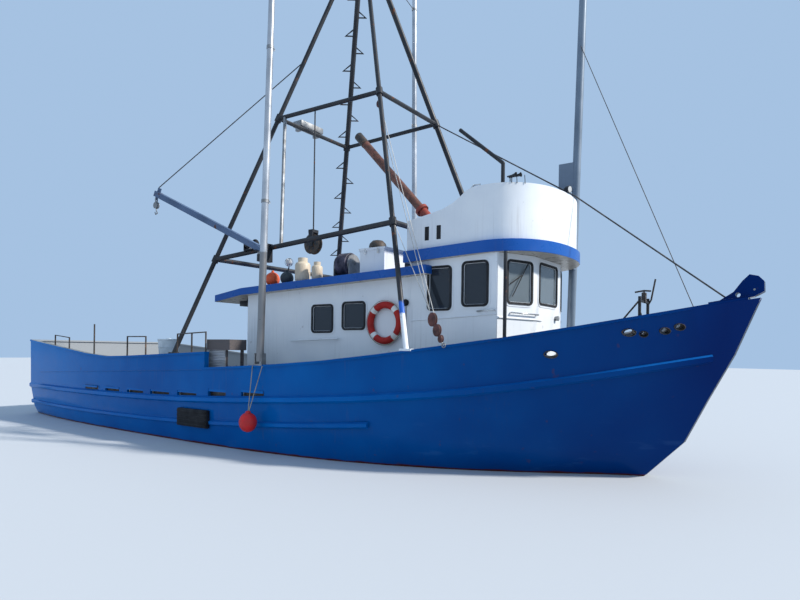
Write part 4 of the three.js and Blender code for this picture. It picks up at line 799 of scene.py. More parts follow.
    def cushion(self, centre: Point, sizes: Point) -> Piece:
        """Adds a stuffed pad: crowned faces, sides drawn in between its corners, and a sewn edge.

        Args:
            centre: its middle.
            sizes: its length, width and thickness.

        Returns:
            This piece.
        """
        work = bmesh.new()
        bmesh.ops.create_cube(work, size=1.0)
        bmesh.ops.subdivide_edges(work, edges=list(work.edges), cuts=9, use_grid_fill=True)
        thin = min(range(3), key=lambda axis: sizes[axis])
        for vert in work.verts:
            place = vert.co * 2.0
            spread = [abs(place[axis]) for axis in range(3) if axis != thin]
            crown = math.sqrt(max(0.0, (1 - spread[0] ** 4) * (1 - spread[1] ** 4)))
            for axis in range(3):
                if axis == thin:
                    vert.co[axis] *= 0.55 + 0.45 * crown
                else:
                    other = abs(place[3 - thin - axis])
                    vert.co[axis] *= 0.96 + 0.04 * other ** 2
        bmesh.ops.smooth_vert(work, verts=list(work.verts), factor=0.5, use_axis_x=True, use_axis_y=True,
                              use_axis_z=True)
        bmesh.ops.scale(work, vec=sizes, verts=list(work.verts))
        return self.adopt(work, Matrix.Translation(centre))

    def done(self, *stands_for: str, crease: float = 35.0, bevel: float = 0.0) -> bpy.types.Object:
        """Closes the mesh and puts it on board.

        Args:
            stands_for: the CAD nodes that it replaces.
            crease: edges sharper than this stay sharp, in degrees.
            bevel: width of a live bevel on its sharp edges.

        Returns:
            The new object.
        """
        bmesh.ops.remove_doubles(self.mesh, verts=list(self.mesh.verts), dist=MERGE)
        bmesh.ops.recalc_face_normals(self.mesh, faces=list(self.mesh.faces))
        limit = math.radians(crease)
        for face in self.mesh.faces:
            face.smooth = True
        for edge in self.mesh.edges:
            edge.smooth = len(edge.link_faces) == 2 and edge.calc_face_angle(0.0) < limit
        data = bpy.data.meshes.new(self.name)
        self.mesh.to_mesh(data)
        self.mesh.free()
        piece = bpy.data.objects.new(self.name, data)
        return board(self.store, piece, self.finish, self.body, stands_for, bevel)


def board(store: Store, piece: bpy.types.Object, finish: str, body: str, stands_for: Sequence[str] = (),
          bevel: float = 0.0) -> bpy.types.Object:
    """Gives an object its finish and its body.

    Args:
        store: the finishes on board.
        piece: the object.
        finish: the key of its finish.
        body: the body that it rides on, or "" for a piece on no body.
        stands_for: the CAD nodes that it replaces.
        bevel: width of a live bevel on its sharp edges.

    Returns:
        The same object.
    """
    bpy.context.scene.collection.objects.link(piece)
    piece.data.materials.clear()
    piece.data.materials.append(store.material(finish))
    if bevel:
        rounding = piece.modifiers.new("edges", "BEVEL")
        rounding.width = bevel
        rounding.segments = 2
        rounding.limit_method = "ANGLE"
        rounding.angle_limit = math.radians(35)
    if body:
        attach(piece, body)
    store.slot(finish)
    if stands_for:
        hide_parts(*stands_for)
    LOG.info("%s on %s", piece.name, body)
    return piece


def facing_frame(along: Vector, up: Vector, out: Vector) -> Matrix:
    """The turn that takes X, Y and Z to three directions."""
    return Matrix((along, up, out)).transposed().to_4x4()


def mirrored(half: Profile) -> list[tuple[float, float]]:
    """Half of a profile, from its negative end to the middle, followed by its mirror image."""
    return [*half, *((-along, out) for along, out in reversed(half))]


def sleeve(low: float, high: float, inner: float, outer: float) -> Profile:
    """The profile of an open sleeve between two heights and two radii."""
    return (low, inner), (low, outer), (high, outer), (high, inner), (low, inner)


def pole_line(side: Side) -> tuple[Vector, Vector]:
    """Where an outrigger pole stands when it is stowed.

    Args:
        side: the pole's side.

    Returns:
        Its foot and the way that it points.
    """
    x, y, z = POLE_FOOT
    way = Vector((0, -side.value * math.sin(POLE_LEAN), math.cos(POLE_LEAN)))
    return Vector((x, side.value * y, z)), way


@dataclass
class Works:
    """A part of the outfit, with the finishes that it draws on."""

    store: Store

    def piece(self, name: str, finish: str, body: str = BOAT) -> Piece:
        """Starts a piece that rides on a body."""
        return Piece(self.store, name, finish, body)

    def lathe(self, name: str, finish: str, profile: Profile, centre: Point, axis: Point,
              steps: int = 32) -> None:
        """Makes a piece of one turned shape, on the boat."""
        self.piece(name, finish).turned(profile, centre, axis, steps).done()

    def strung(self, name: str, runs: Sequence[Sequence[Point]], radius: float, finish: str,
               body: str = BOAT, smooth: bool = False) -> bpy.types.Object:
        """Makes wires, ropes or bent rods along runs of points.

        Args:
            name: the piece's name.
            runs: one list of points for each run.
            radius: radius of the wire.
            finish: the key of its finish.
            body: the body that it rides on, or "" for a piece on no body.
            smooth: whether the run curves between its points.

        Returns:
            The new object.
        """
        curve = bpy.data.curves.new(name, "CURVE")
        curve.dimensions = "3D"
        curve.bevel_depth = radius
        curve.bevel_resolution = 3
        curve.use_fill_caps = True
        curve.resolution_u = 6
        for run in runs:
            spline = curve.splines.new("NURBS" if smooth else "POLY")
            spline.points.add(len(run) - 1)
            for point, place in zip(spline.points, run):
                point.co = (*place, 1.0)
            spline.use_smooth = True
            if smooth:
                spline.order_u = 3
                spline.use_endpoint_u = True
        return board(self.store, bpy.data.objects.new(name, curve), finish, body)

    def refined(self, node: str, finish: str, body: str = BOAT, crease: float = 32.0,
                bevel: float = 0.0) -> bpy.types.Object:
        """Copies a CAD node, joins its faces, shades it smooth and stands it in the node's place.

        Args:
            node: the CAD node.
            finish: the key of its finish.
            body: the body that it rides on.
            crease: edges sharper than this stay sharp, in degrees.
            bevel: width of a live bevel on its sharp edges.

        Returns:
            The new object.
        """
        piece = self.piece(node + "_finish", finish, body)
        mesh = piece.mesh
        mesh.from_mesh(bpy.data.objects[node].data)
        bmesh.ops.remove_doubles(mesh, verts=list(mesh.verts), dist=MERGE)
        bmesh.ops.dissolve_limit(mesh, angle_limit=math.radians(0.4), verts=list(mesh.verts),
                                 edges=list(mesh.edges))
        return piece.done(node, crease=crease, bevel=bevel)


class Skin:
    """Finds places on a CAD node's surface."""

    def __init__(self, *nodes: str) -> None:
        """Gathers the faces of the nodes.

        Args:
            nodes: the CAD nodes.
        """
        self.trees = []
        for node in nodes:
            data = bpy.data.objects[node].data
            faces = [tuple(face.vertices) for face in data.polygons]
            self.trees.append(BVHTree.FromPolygons([vert.co for vert in data.vertices], faces))

    def hit(self, start: Point, way: Point) -> Vector | None:
        """The nearest place that a straight look from start meets.

        Args:
            start: where the look starts.
            way: which way it goes.

        Returns:
            The place, or None.
        """
        found = []
        for tree in self.trees:
            place, _, _, distance = tree.ray_cast(Vector(start), Vector(way))
            if place is not None:
                found.append((distance, place))
        return min(found, key=lambda pair: pair[0])[1] if found else None

    def side(self, x: float, z: float, side: Side, inside: bool = False) -> Vector | None:
        """The outer or inner face of the hull's side at a length and height."""
        start = (x, 0.0 if inside else side.value * 6.0, z)
        return self.hit(start, (0, side.value if inside else -side.value, 0))


@dataclass
class Studio:
    """The camera at the photograph's place, a pale floor at the waterline, and soft light."""

    eye: Point = (9.81, -10.22, 1.95)
    yaw: float = 35.596
    roll: float = 0.0143
    lens: float = 27.36
    horizon_shift: float = 0.06255
    floor_half: float = 90.0
    floor: Colour = (0.5, 0.52, 0.54)
    sky: Colour = (0.5, 0.71, 1.0)
    sky_strength: float = 0.76
    sun: Colour = (1.0, 0.96, 0.9)
    sun_energy: float = 5.0
    sun_degrees: float = 4.0
    sun_from: Point = (1.0, 0.42, 0.8)
    fill_energy: float = 120.0
    fill_size: float = 12.0
    fill_at: Point = (-6.0, -18.0, 12.0)
    fill_from: Point = (-0.3, -0.8, 0.55)

    def build(self) -> None:
        """Makes the camera, the floor and the lights."""
        camera = bpy.data.objects.new("camera", bpy.data.cameras.new("camera"))
        bpy.context.scene.collection.objects.link(camera)
        turn = Matrix.Rotation(math.radians(self.yaw), 4, "Z") @ Matrix.Rotation(math.pi / 2, 4, "X")
        camera.matrix_world = Matrix.Translation(self.eye) @ turn @ Matrix.Rotation(self.roll, 4, "Z")
        camera.data.sensor_width = 36.0
        camera.data.lens = self.lens
        camera.data.shift_y = self.horizon_shift
        camera.data.clip_end = 500.0
        bpy.context.scene.camera = camera
        bpy.context.scene.view_settings.view_transform = "Standard"
        self.lay_floor()
        self.light()

    def lay_floor(self) -> None:
        """Makes the floor."""
        work = bmesh.new()
        bmesh.ops.create_grid(work, x_segments=1, y_segments=1, size=self.floor_half)
        data = bpy.data.meshes.new("floor")
        work.to_mesh(data)
        work.free()
        floor = bpy.data.objects.new("floor", data)
        bpy.context.scene.collection.objects.link(floor)
        data.materials.append(Finish("pale_floor", "", self.floor).build())

    def light(self) -> None:
        """Makes the sky, the sun and a soft fill from the quay's side."""
        world = bpy.data.worlds.new("sky")
        world.use_nodes = True
        background = world.node_tree.nodes["Background"]
        background.inputs[0].default_value = (*self.sky, 1.0)
        background.inputs[1].default_value = self.sky_strength
        bpy.context.scene.world = world
        sun = self.lamp("sun", "SUN", self.sun_energy, self.sun_from)
        sun.data.angle = math.radians(self.sun_degrees)
        sun.data.color = self.sun
        fill = self.lamp("fill", "AREA", self.fill_energy, self.fill_from)
        fill.data.size = self.fill_size
        fill.location = self.fill_at

    def lamp(self, name: str, kind: str, energy: float, way: Point) -> bpy.types.Object:
        """Makes a light.

        Args:
            name: the light's name.
            kind: its type.
            energy: its strength.
            way: the way that it comes from.

        Returns:
            The light.
        """
        light = bpy.data.objects.new(name, bpy.data.lights.new(name, kind))
        light.data.energy = energy
        light.rotation_euler = Vector(way).to_track_quat("Z", "Y").to_euler()
        bpy.context.scene.collection.objects.link(light)
        return light


@dataclass
class HullWorks(Works):
    """Hull, bulwarks, rub rails and what is fixed on them."""

    seam: tuple[Point, Point] = ((-8.1, 1.20), (-0.52, 1.49))
    seam_steps: int = 39
    bead: float = 0.009
    holes: Sequence[Row] = (
        (6.33, 1.915, 0.095, 0.055), (7.34, 2.255, 0.095, 0.055), (7.52, 2.235, 0.06, 0.045),
        (7.78, 2.285, 0.075, 0.05), (7.96, 2.345, 0.075, 0.05))
    margin: float = 0.03
    # A rusty lip outside; the dark throat inside is painted shade in the hole.
    liner: Profile = (
        (-0.16, 0.93), (-0.16, 0.99), (-0.004, 1.0), (-0.004, 1.12), (0.006, 1.13), (0.014, 1.06),
        (0.012, 0.98), (0.0, 0.93), (-0.16, 0.93))
    ports: Sequence[Row] = (
        (-5.24, -4.58, 0.11), (-4.24, -3.61, 0.11), (-3.27, -2.61, 0.11), (-2.34, -1.63, 0.11),
        (-1.35, -0.7, 0.11), (-0.33, 0.21, 0.15), (0.65, 1.26, 0.12))
    flap_faces: tuple[float, float] = (2.50, 2.515)
    lip_faces: tuple[float, float] = (2.575, 2.59)
    pad: Row = (-1.23, -0.26, 0.34, 0.70)
    pad_ribs: int = 4
    first_rib: float = -8.3
    rib_pitch: float = 0.9
    ribs: int = 18
    rib_half: float = 0.006
    rib_reach: float = 0.13
    rib_height: float = 0.5

    def build(self) -> None:
        """Dresses the hull."""
        for node in ("hull", "bulwark_starboard", "bulwark_port"):
            self.refined(node, "hull", crease=38.0)
        for node in ("rub_rail_upper", "rub_rail_lower"):
            self.refined(node, "rail", crease=38.0)
        skin = Skin("bulwark_starboard", "bulwark_port")
        self.weld_seams(skin)
        self.hole_rims(skin)
        deck = Skin("hull")
        self.brackets(skin, deck)
        self.port_flaps(deck)
        self.rubber_pad()

    def weld_seams(self, skin: Skin) -> None:
        """Lays the weld bead along each after bulwark.

        Args:
            skin: the bulwarks' surface.
        """
        (x0, z0), (x1, z1) = self.seam
        for side in Side:
            run = []
            for i in range(self.seam_steps + 1):
                share = i / self.seam_steps
                place = skin.side(x0 + (x1 - x0) * share, z0 + (z1 - z0) * share, side)
                if place:
                    run.append(place)
            self.strung(f"weld_bead_{side.label}", [run], self.bead, "hull")

    def hole_rims(self, skin: Skin) -> None:
        """Lines each mooring hole with a rusty lip and a dark throat; the throat's dark is painted shade
        inside the hole.

        Args:
            skin: the bulwarks' surface.
        """
        for side in Side:
            piece = self.piece(f"mooring_lips_{side.label}", "iron")
            for x, z, long, high in self.holes:
                aft = skin.side(x - long - self.margin, z, side)
                fore = skin.side(x + long + self.margin, z, side)
                low = skin.side(x, z - high - self.margin, side)
                top = skin.side(x, z + high + self.margin, side)
                along, up = (fore - aft).normalized(), (top - low).normalized()
                out = along.cross(up) * -side.value
                place = Matrix.Translation((aft + fore + low + top) / 4) @ facing_frame(along, up, out)
                # Rusty lip, and a dark throat that is painted shade inside the hole.
                piece.oval(place, self.liner, long, high)
            piece.done(crease=50.0)

    def brackets(self, skin: Skin, deck: Skin) -> None:
        """Stands a bracket between the deck and the cap rail at every frame.

        Args:
            skin: the bulwarks' surface.
            deck: the hull's surface.
        """
        for side in Side:
            piece = self.piece(f"bulwark_brackets_{side.label}", "hull")
            for i in range(self.ribs):
                x = self.first_rib + self.rib_pitch * i
                floor = deck.hit((x, side.value * 0.2, 5.0), DOWN)
                if floor is None:
                    continue
                low = skin.side(x, floor.z + 0.1, side, inside=True)
                high = skin.side(x, floor.z + 0.55, side, inside=True)
                if low is None or high is None:
                    continue
                near, far = sorted((low.y, low.y - side.value * self.rib_reach))
                top = floor.z + self.rib_height
                piece.box((x - self.rib_half, near, floor.z), (x + self.rib_half, far, top))
            piece.done()

    def port_flaps(self, deck: Skin) -> None:
        """Puts a dark plate behind each freeing port, which darkens the opening, under a lip in the rails'
        paint.

        Args:
            deck: the hull's surface.
        """
        for side in Side:
            dark_plates = self.piece(f"freeing_flaps_{side.label}", "iron")
            lips = self.piece(f"freeing_lips_{side.label}", "rail")
            for x0, x1, height in self.ports:
                floor = deck.hit(((x0 + x1) / 2, side.value * 0.3, 5.0), DOWN).z + 0.015
                near, far = sorted(side.value * face for face in self.flap_faces)
                dark_plates.box((x0 + 0.002, near, floor), (x1 - 0.002, far, floor + height - 0.002))
                near, far = sorted(side.value * face for face in self.lip_faces)
                lips.box((x0, near, floor + height * 0.62), (x1, far, floor + height - 0.001))
            dark_plates.done()
            lips.done()

    def rubber_pad(self) -> None:
        """Hangs the black pad that takes the dock's rub."""
        x0, x1, z0, z1 = self.pad
        piece = self.piece("rubbing_pad", "rubber")
        piece.box((x0, -2.69, z0), (x1, -2.60, z1), 0.02)
        for k in range(self.pad_ribs):
            z = z0 + 0.05 + k * (z1 - z0 - 0.1) / (self.pad_ribs - 1)
            piece.box((x0 + 0.02, -2.705, z - 0.02), (x1 - 0.02, -2.685, z + 0.02), 0.008)
        piece.done()


@dataclass
class Window(Works):
    """A rounded window: raised rim, black rubber seal and glass."""

    name: str
    middle: Vector
    along: Vector
    width: float
    height: float
    glass: str = "glass"

    def seat(self, lift: float) -> Matrix:
        """The window's frame.

        Args:
            lift: how far it is lifted off the wall.

        Returns:
            Its place.
        """
        along, up = self.along.normalized(), Vector(UP)
        out = along.cross(up).normalized()
        return Matrix.Translation(self.middle + out * lift) @ facing_frame(along, up, out)

    def layer(self, name: str, finish: str, plates: Sequence[tuple[float, ...]]) -> None:
        """Makes one layer.

        Args:
            name: the layer's name.
            finish: the key of its finish.
            plates: lift, growth over the window's size, corner radius, depth and rim of each plate.
        """
        piece = self.piece(f"{self.name}_{name}", finish)
        for lift, growth, radius, depth, rim in plates:
            piece.panel(self.seat(lift), self.width + growth, self.height + growth, radius, depth, rim)
        piece.done(crease=50.0)

    def build(self) -> None:
        """Makes the window's layers."""
        self.layer("rim", "white", ((0.001, 0.12, 0.12, 0.008, 0.034), (-0.05, 0.004, 0.06, 0.05, 0.02)))
        self.layer("seal", "rubber", ((0.0, 0.055, 0.088, 0.02, 0.04),))
        self.layer("glass", self.glass, ((-0.018, -0.02, 0.05, 0.006, 0.0),))


@dataclass
class Houses(Works):
    """Deckhouse, wheelhouse, flying bridge and their fittings."""

    half: float = 1.4
    wall_bevel: float = 0.006
    unbevelled: Sequence[str] = ("bridge_coaming", "handrail")
    seat: tuple[float, float] = (4.30, -0.25)
    house_windows: Sequence[Row] = ((1.35, 1.88, 2.29, 2.80), (2.15, 2.68, 2.34, 2.83))
    wheel_windows: Sequence[Row] = ((4.09, 4.53, 2.655, 3.37), (4.77, 5.22, 2.705, 3.41))
    front_panes: Sequence[tuple[Point, Point, float, float, float, float]] = (
        ((5.385, -1.4, 0), (5.68, -0.58, 0), 0.27, 0.91, 2.75, 3.43),
        ((5.68, -0.58, 0), (5.68, 0.58, 0), 0.165, 0.835, 2.78, 3.46),
        ((5.68, 0.58, 0), (5.385, 1.4, 0), 0.09, 0.73, 2.75, 3.43))
    slots: Sequence[tuple[float, float]] = ((4.0, 4.09), (4.24, 4.33))
    rails: Sequence[tuple[str, float, str, Sequence[Point]]] = (
        ("bow_grab_rail", 0.013, "bright", (
            (5.49, -1.11, 2.585), (5.53, -1.125, 2.585), (5.74, -0.545, 2.575), (5.69, -0.52, 2.575))),
        ("bow_ledge", 0.016, "white", ((5.40, -1.385, 2.50), (5.685, -0.595, 2.49), (5.69, -0.30, 2.49))),
        ("corner_grab_rail", 0.012, "bright", (
            (5.06, -1.40, 2.60), (5.06, -1.45, 2.60), (5.36, -1.45, 2.615), (5.36, -1.40, 2.615))))
    conduit: Sequence[Point] = ((3.62, -1.41, 2.75), (3.615, -1.41, 1.95))
    wall_lamp: Profile = ((0, 0), (0, 0.055), (0.03, 0.062), (0.06, 0.045), (0.075, 0))
    corner_lamp: Profile = ((0, 0), (0, 0.04), (0.06, 0.045), (0.07, 0))
    flood_way: Point = (1, -0.25, -0.1)
    aerials: Sequence[Point] = ((5.62, -1.20, 4.84), (5.72, -1.11, 4.80))
    walls: dict[str, str] = field(default_factory=lambda: {
        "deckhouse": "white", "wheelhouse": "white", "deckhouse_roof": "blue", "brow": "blue",
        "bridge_coaming": "white", "helm_console": "timber", "handrail": "white", "roof_locker": "white"})

    def build(self) -> None:
        """Dresses the houses."""
        for node, finish in self.walls.items():
            self.refined(node, finish, bevel=0.0 if node in self.unbevelled else self.wall_bevel)
        self.refined("deckhouse_door", "white", body="deckhouse_door", bevel=0.004)
        self.helm_seat()
        self.side_windows()
        self.front_windows()
        self.door_fittings()
        self.wall_fittings()
        self.bridge_fittings()

    def helm_seat(self) -> None:
        """Makes the helm seat: a pedestal with a shell, and two stuffed cushions."""
        frame = self.piece("helm_seat_pedestal", "steel")
        low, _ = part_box("helm_seat")
        frame.rod((*self.seat, low.z), (*self.seat, 1.87), 0.055, 28)
        foot = ((low.z, 0), (low.z, 0.058), (low.z + 0.02, 0.058), (low.z + 0.02, 0))
        frame.turned(foot, (*self.seat, 0), UP)
        frame.box((4.06, -0.48, 1.882), (4.50, -0.02, 1.895), 0.004)
        frame.done("helm_seat")
        for name, place, sizes in (("seat", (4.295, -0.25, 1.945), (0.44, 0.47, 0.085)),
                                   ("back", (4.085, -0.25, 2.255), (0.085, 0.46, 0.51))):
            pad = self.piece(f"helm_{name}_cushion", "vinyl")
            pad.cushion(place, sizes)
            pad.done(crease=80.0)

    def side_windows(self) -> None:
        """Sets the windows in both sides."""
        for side in Side:
            for label, table in (("house", self.house_windows), ("wheel", self.wheel_windows)):
                for i, (x0, x1, z0, z1) in enumerate(table):
                    middle = Vector(((x0 + x1) / 2, side.value * self.half, (z0 + z1) / 2))
                    along = Vector((-side.value, 0, 0))
                    name = f"{label}_window_{side.label}_{i}"
                    Window(self.store, name, middle, along, x1 - x0, z1 - z0).build()

    def front_windows(self) -> None:
        """Sets the three front windows and the wiper of the starboard one."""
        for i, (start, end, share, past, low, top) in enumerate(self.front_panes):
            start, end = Vector(start), Vector(end)
            middle = start.lerp(end, (share + past) / 2) + Vector((0, 0, (low + top) / 2))
            width = (end - start).length * (past - share)
            size = width, top - low
            Window(self.store, f"front_window_{i}", middle, end - start, *size, "front_glass").build()
        start, end = Vector(self.front_panes[0][0]), Vector(self.front_panes[0][1])
        along = (end - start).normalized()
        middle = start.lerp(end, 0.59) + Vector((0, 0, 3.09)) + along.cross(Vector(UP)) * 0.03
        pivot = middle + Vector((0, 0, 0.33)) + along * 0.17
        foot = middle - Vector((0, 0, 0.24)) - along * 0.19
        self.strung("wiper_arm", [[pivot, foot]], 0.008, "rubber")
        blade = middle + Vector((0, 0, -0.04)) - along * 0.24
        self.strung("wiper_blade", [[middle + Vector((0, 0, 0.12)) + along * 0.02, blade]], 0.011, "rubber")

    def door_fittings(self) -> None:
        """Puts three dogs on the after door."""
        low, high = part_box("deckhouse_door")
        piece = self.piece("door_dogs", "steel", "deckhouse_door")
        for share in (0.2, 0.5, 0.8):
            z = low.z + (high.z - low.z) * share
            piece.rod((low.x + 0.02, high.y - 0.10, z), (low.x + 0.075, high.y - 0.10, z), 0.016)
            piece.rod((low.x + 0.03, high.y - 0.10, z), (low.x + 0.03, high.y - 0.005, z + 0.05), 0.010)
        piece.done()

    def wall_fittings(self) -> None:
        """Puts the mouldings, rails, conduit and lamps on the walls."""
        for side in Side:
            y = side.value * (self.half + 0.004)
            moulding = (3.74, y, 2.47), (5.40, y, 2.55)
            self.strung(f"wheelhouse_moulding_{side.label}", [moulding], 0.011, "white")
        for name, radius, finish, run in self.rails:
            self.strung(name, [run], radius, finish)
        self.lathe("wall_lamp", "rubber", self.wall_lamp, (3.62, -1.402, 2.79), (0, -1, 0))
        self.strung("wall_conduit", [self.conduit], 0.010, "steel")
        flood = self.piece("after_flood_lamp", "black")
        flood.box((-1.05, -1.25, 2.88), (-0.80, -1.02, 3.0), 0.015)
        flood.rod((-0.92, -1.13, 2.98), (-0.92, -1.13, 3.05), 0.02)
        flood.done()
        self.lathe("corner_lamp", "steel", self.corner_lamp, (5.685, 0.36, 2.56), AHEAD)

    def bridge_fittings(self) -> None:
        """Puts the dark slots, rail, lights, horn and aerials on the flying bridge."""
        piece = self.piece("coaming_slots", "rubber")
        for x0, x1 in self.slots:
            piece.box((x0 + 0.001, -1.415, 3.851), (x1 - 0.001, -1.375, 4.089))
        piece.done()
        lamp = self.piece("bow_flood_lamp", "black")
        spot = Vector((6.0, -0.02, 4.765))
        shell = ((-0.04, 0), (-0.04, 0.03), (0.0, 0.055), (0.07, 0.06), (0.07, 0.053), (0.065, 0))
        lamp.turned(shell, spot, self.flood_way)
        lamp.rod(spot - Vector((0, 0, 0.09)), spot, 0.010)
        lamp.done()
        lens = ((0.066, 0), (0.066, 0.052), (0.07, 0.052), (0.075, 0))
        self.lathe("bow_flood_lens", "lens", lens, spot, self.flood_way)
        horn = self.piece("horn", "black")
        for k, long in enumerate((0.16, 0.22)):
            spot = Vector((5.50, -1.31 + 0.06 * k, 4.755))
            trumpet = ((0, 0), (0, 0.012), (0.08, 0.014), (long - 0.03, 0.024), (long, 0.038), (long, 0.034),
                       (long - 0.03, 0.018), (0.08, 0))
            horn.turned(trumpet, spot, (1, -0.1, 0.05))
            horn.rod(spot + Vector((0.05, 0, -0.085)), spot + Vector((0.05, 0, 0)), 0.008)
        horn.done()
        runs = [[(x, y, 4.66), (x - 0.01, y, top)] for x, y, top in self.aerials]
        self.strung("bridge_aerials", runs, 0.006, "black")
        rail = [(4.70, -1.33, 4.5), (4.90, -1.33, 4.70), (5.02, -1.33, 4.70), (5.02, -1.33, 4.62)]
        self.strung("coaming_rail", [rail, [(x, -y, z) for x, y, z in rail]], 0.014, "bright")


@dataclass
class Gantry(Works):
    """The pipe gantry, its mast, the exhaust and the gear that hangs on it."""

    black: Sequence[str] = (
        "gantry_leg_starboard_aft", "gantry_leg_port_aft", "gantry_leg_port_fore", "gantry_upper_frame",
        "gantry_lower_frame", "mast_cap", "bridge_pipe", "stanchion_starboard")
    stack_bend: Point = (3.27, 0, 4.48)
    stack_mouth: Point = (1.3, 0, 6.6)
    bolts: int = 8
    bolt_circle: float = 0.112
    spokes: int = 6

    def build(self) -> None:
        """Dresses the gantry."""
        for node in self.black:
            self.refined(node, "black")
        self.refined("gantry_leg_starboard_fore", "leg")
        self.refined("gantry_strut", "steel")
        self.refined("foremast", "mast")
        self.refined("exhaust_stack", "rust")
        self.lamps()
        self.exhaust_fittings()
        self.hauling_block()

    def lamps(self) -> None:
        """Hangs the flood lamp on the upper frame and the light at the masthead."""
        box = self.piece("gantry_flood_lamp", "steel")
        box.box((-0.30, -0.42, 6.98), (-0.02, 0.30, 7.12), 0.02)
        box.box((-0.26, -0.38, 6.90), (-0.06, -0.30, 7.0), 0.01)
        box.box((-0.26, 0.18, 6.90), (-0.06, 0.26, 7.0), 0.01)
        box.done()
        glass = ((0, 0), (0, 0.06), (0.02, 0.075), (0.14, 0.075), (0.17, 0.05), (0.18, 0))
        self.lathe("masthead_light", "lens", glass, (1.338, 0, 11.9), UP)

    def exhaust_fittings(self) -> None:
        """Puts a red flange with its bolts, and a lip at the mouth, on the exhaust."""
        bend, mouth = Vector(self.stack_bend), Vector(self.stack_mouth)
        way = (mouth - bend).normalized()
        across = Vector(ACROSS)
        other = way.cross(across)
        bolts = self.piece("exhaust_bolts", "rust")
        for k in range(self.bolts):
            angle = k * math.tau / self.bolts
            offset = across * math.cos(angle) * self.bolt_circle + other * math.sin(angle) * self.bolt_circle
            bolts.rod(bend + way * 0.365 + offset, bend + way * 0.455 + offset, 0.011, 6)
        bolts.done()
        ring = self.piece("exhaust_flange", "red_lead")
        flange = ((0.375, 0.0895), (0.375, 0.135), (0.445, 0.135), (0.445, 0.0895), (0.375, 0.0895))
        ring.turned(flange, bend, way, 40)
        ring.turned(((-0.02, 0.0895), (-0.02, 0.094), (0.375, 0.094), (0.375, 0.0895)), bend, way, 40)
        ring.done()
        lip = ((-0.30, 0.0885), (-0.30, 0.093), (0.0, 0.093), (0.004, 0.08), (0.004, 0.0))
        self.lathe("exhaust_mouth", "iron", lip, mouth, way)

    def hauling_block(self) -> None:
        """Dresses the hauling block and its big grooved sheave."""
        self.refined("hauling_block", "black", bevel=0.006)
        low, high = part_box("hauling_sheave")
        middle = (low + high) / 2
        sheave = self.piece("hauling_sheave_wheel", "iron", "hauling_sheave")
        half = [(-0.096, 0), (-0.096, 0.02), (-0.058, 0.02), (-0.058, 0.198), (-0.052, 0.21), (-0.044, 0.208),
                (-0.03, 0.168), (-0.012, 0.14)]
        sheave.turned(mirrored(half), middle, ACROSS, 48)
        sheave.done("hauling_sheave")
        holes = self.piece("hauling_sheave_spokes", "black", "hauling_sheave")
        for k in range(self.spokes):
            angle = k * math.tau / self.spokes
            spot = middle + Vector((math.cos(angle) * 0.11, -0.0585, math.sin(angle) * 0.11))
            holes.rod(spot, spot + Vector((0, -0.003, 0)), 0.03)
        holes.done()


@dataclass
class BoomGear(Works):
    """The cargo boom, its heel fittings, hook and winch."""

    turns: int = 15
    turn_pitch: float = 0.0125

    def build(self) -> None:
        """Dresses the boom gear."""
        self.refined("boom_bracket", "black", bevel=0.004)
        self.refined("boom_gooseneck", "steel", body="gooseneck", bevel=0.004)
        self.refined("cargo_boom", "boom", body="cargo_boom", bevel=0.008)
        self.refined("hook_block", "steel", body="hook_block", crease=45.0)
        self.refined("cargo_winch_frame", "black", bevel=0.003)
        self.winch_drum()

    def winch_drum(self) -> None:
        """Makes the drum with its turns of wire."""
        low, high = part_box("cargo_winch_drum")
        middle = (low + high) / 2
        drum = self.piece("cargo_winch_barrel", "steel", "cargo_winch_drum")
        half = [(-0.149, 0), (-0.149, 0.02), (-0.109, 0.02), (-0.109, 0.08), (-0.095, 0.08), (-0.095, 0.05)]
        drum.turned(mirrored(half), middle, AHEAD, 36)
        drum.done("cargo_winch_drum")
        wire = self.piece("cargo_winch_wire", "wire", "cargo_winch_drum")
        for k in range(self.turns):
            spot = middle + Vector((-0.088 + k * self.turn_pitch, 0, 0))
            wire.hoop(spot, AHEAD, 0.056, 0.0065, steps=28, sides=8)
        wire.done()


@dataclass
class Outriggers(Works):
    """The two upright outrigger poles and their heels."""

    length: float = 12.4
    radius: float = 0.07
    taper: float = 0.28
    bands: Sequence[float] = (2.9, 5.8, 8.7, 11.8)

    def build(self) -> None:
        """Dresses both poles."""
        for side in Side:
            name = side.label
            body = f"outrigger_{name}"
            self.refined(f"outrigger_heel_{name}", "steel", bevel=0.004)
            foot, way = pole_line(side)
            pole = self.piece(f"outrigger_{name}_tube", "pole", body)
            tip = self.radius * (1 - self.taper)
            pole.rod(foot - way * 0.095, foot + way * self.length, self.radius, 32, tip)
            pole.rod(foot - Vector((0.102, 0, 0)), foot + Vector((0.102, 0, 0)), 0.02, 20)
            pole.done(f"outrigger_pole_{name}")
            bands = self.piece(f"outrigger_{name}_bands", "steel", body)
            for along in self.bands:
                radius = self.radius * (1 - self.taper * along / self.length)
                spot = foot + way * along
                bands.rod(spot - way * 0.03, spot + way * 0.03, radius + 0.008, 28)
                eye = spot + Vector((0, -side.value * (radius + 0.03), 0))
                bands.hoop(eye, AHEAD, 0.025, 0.006, steps=20, sides=8)
            bands.done()


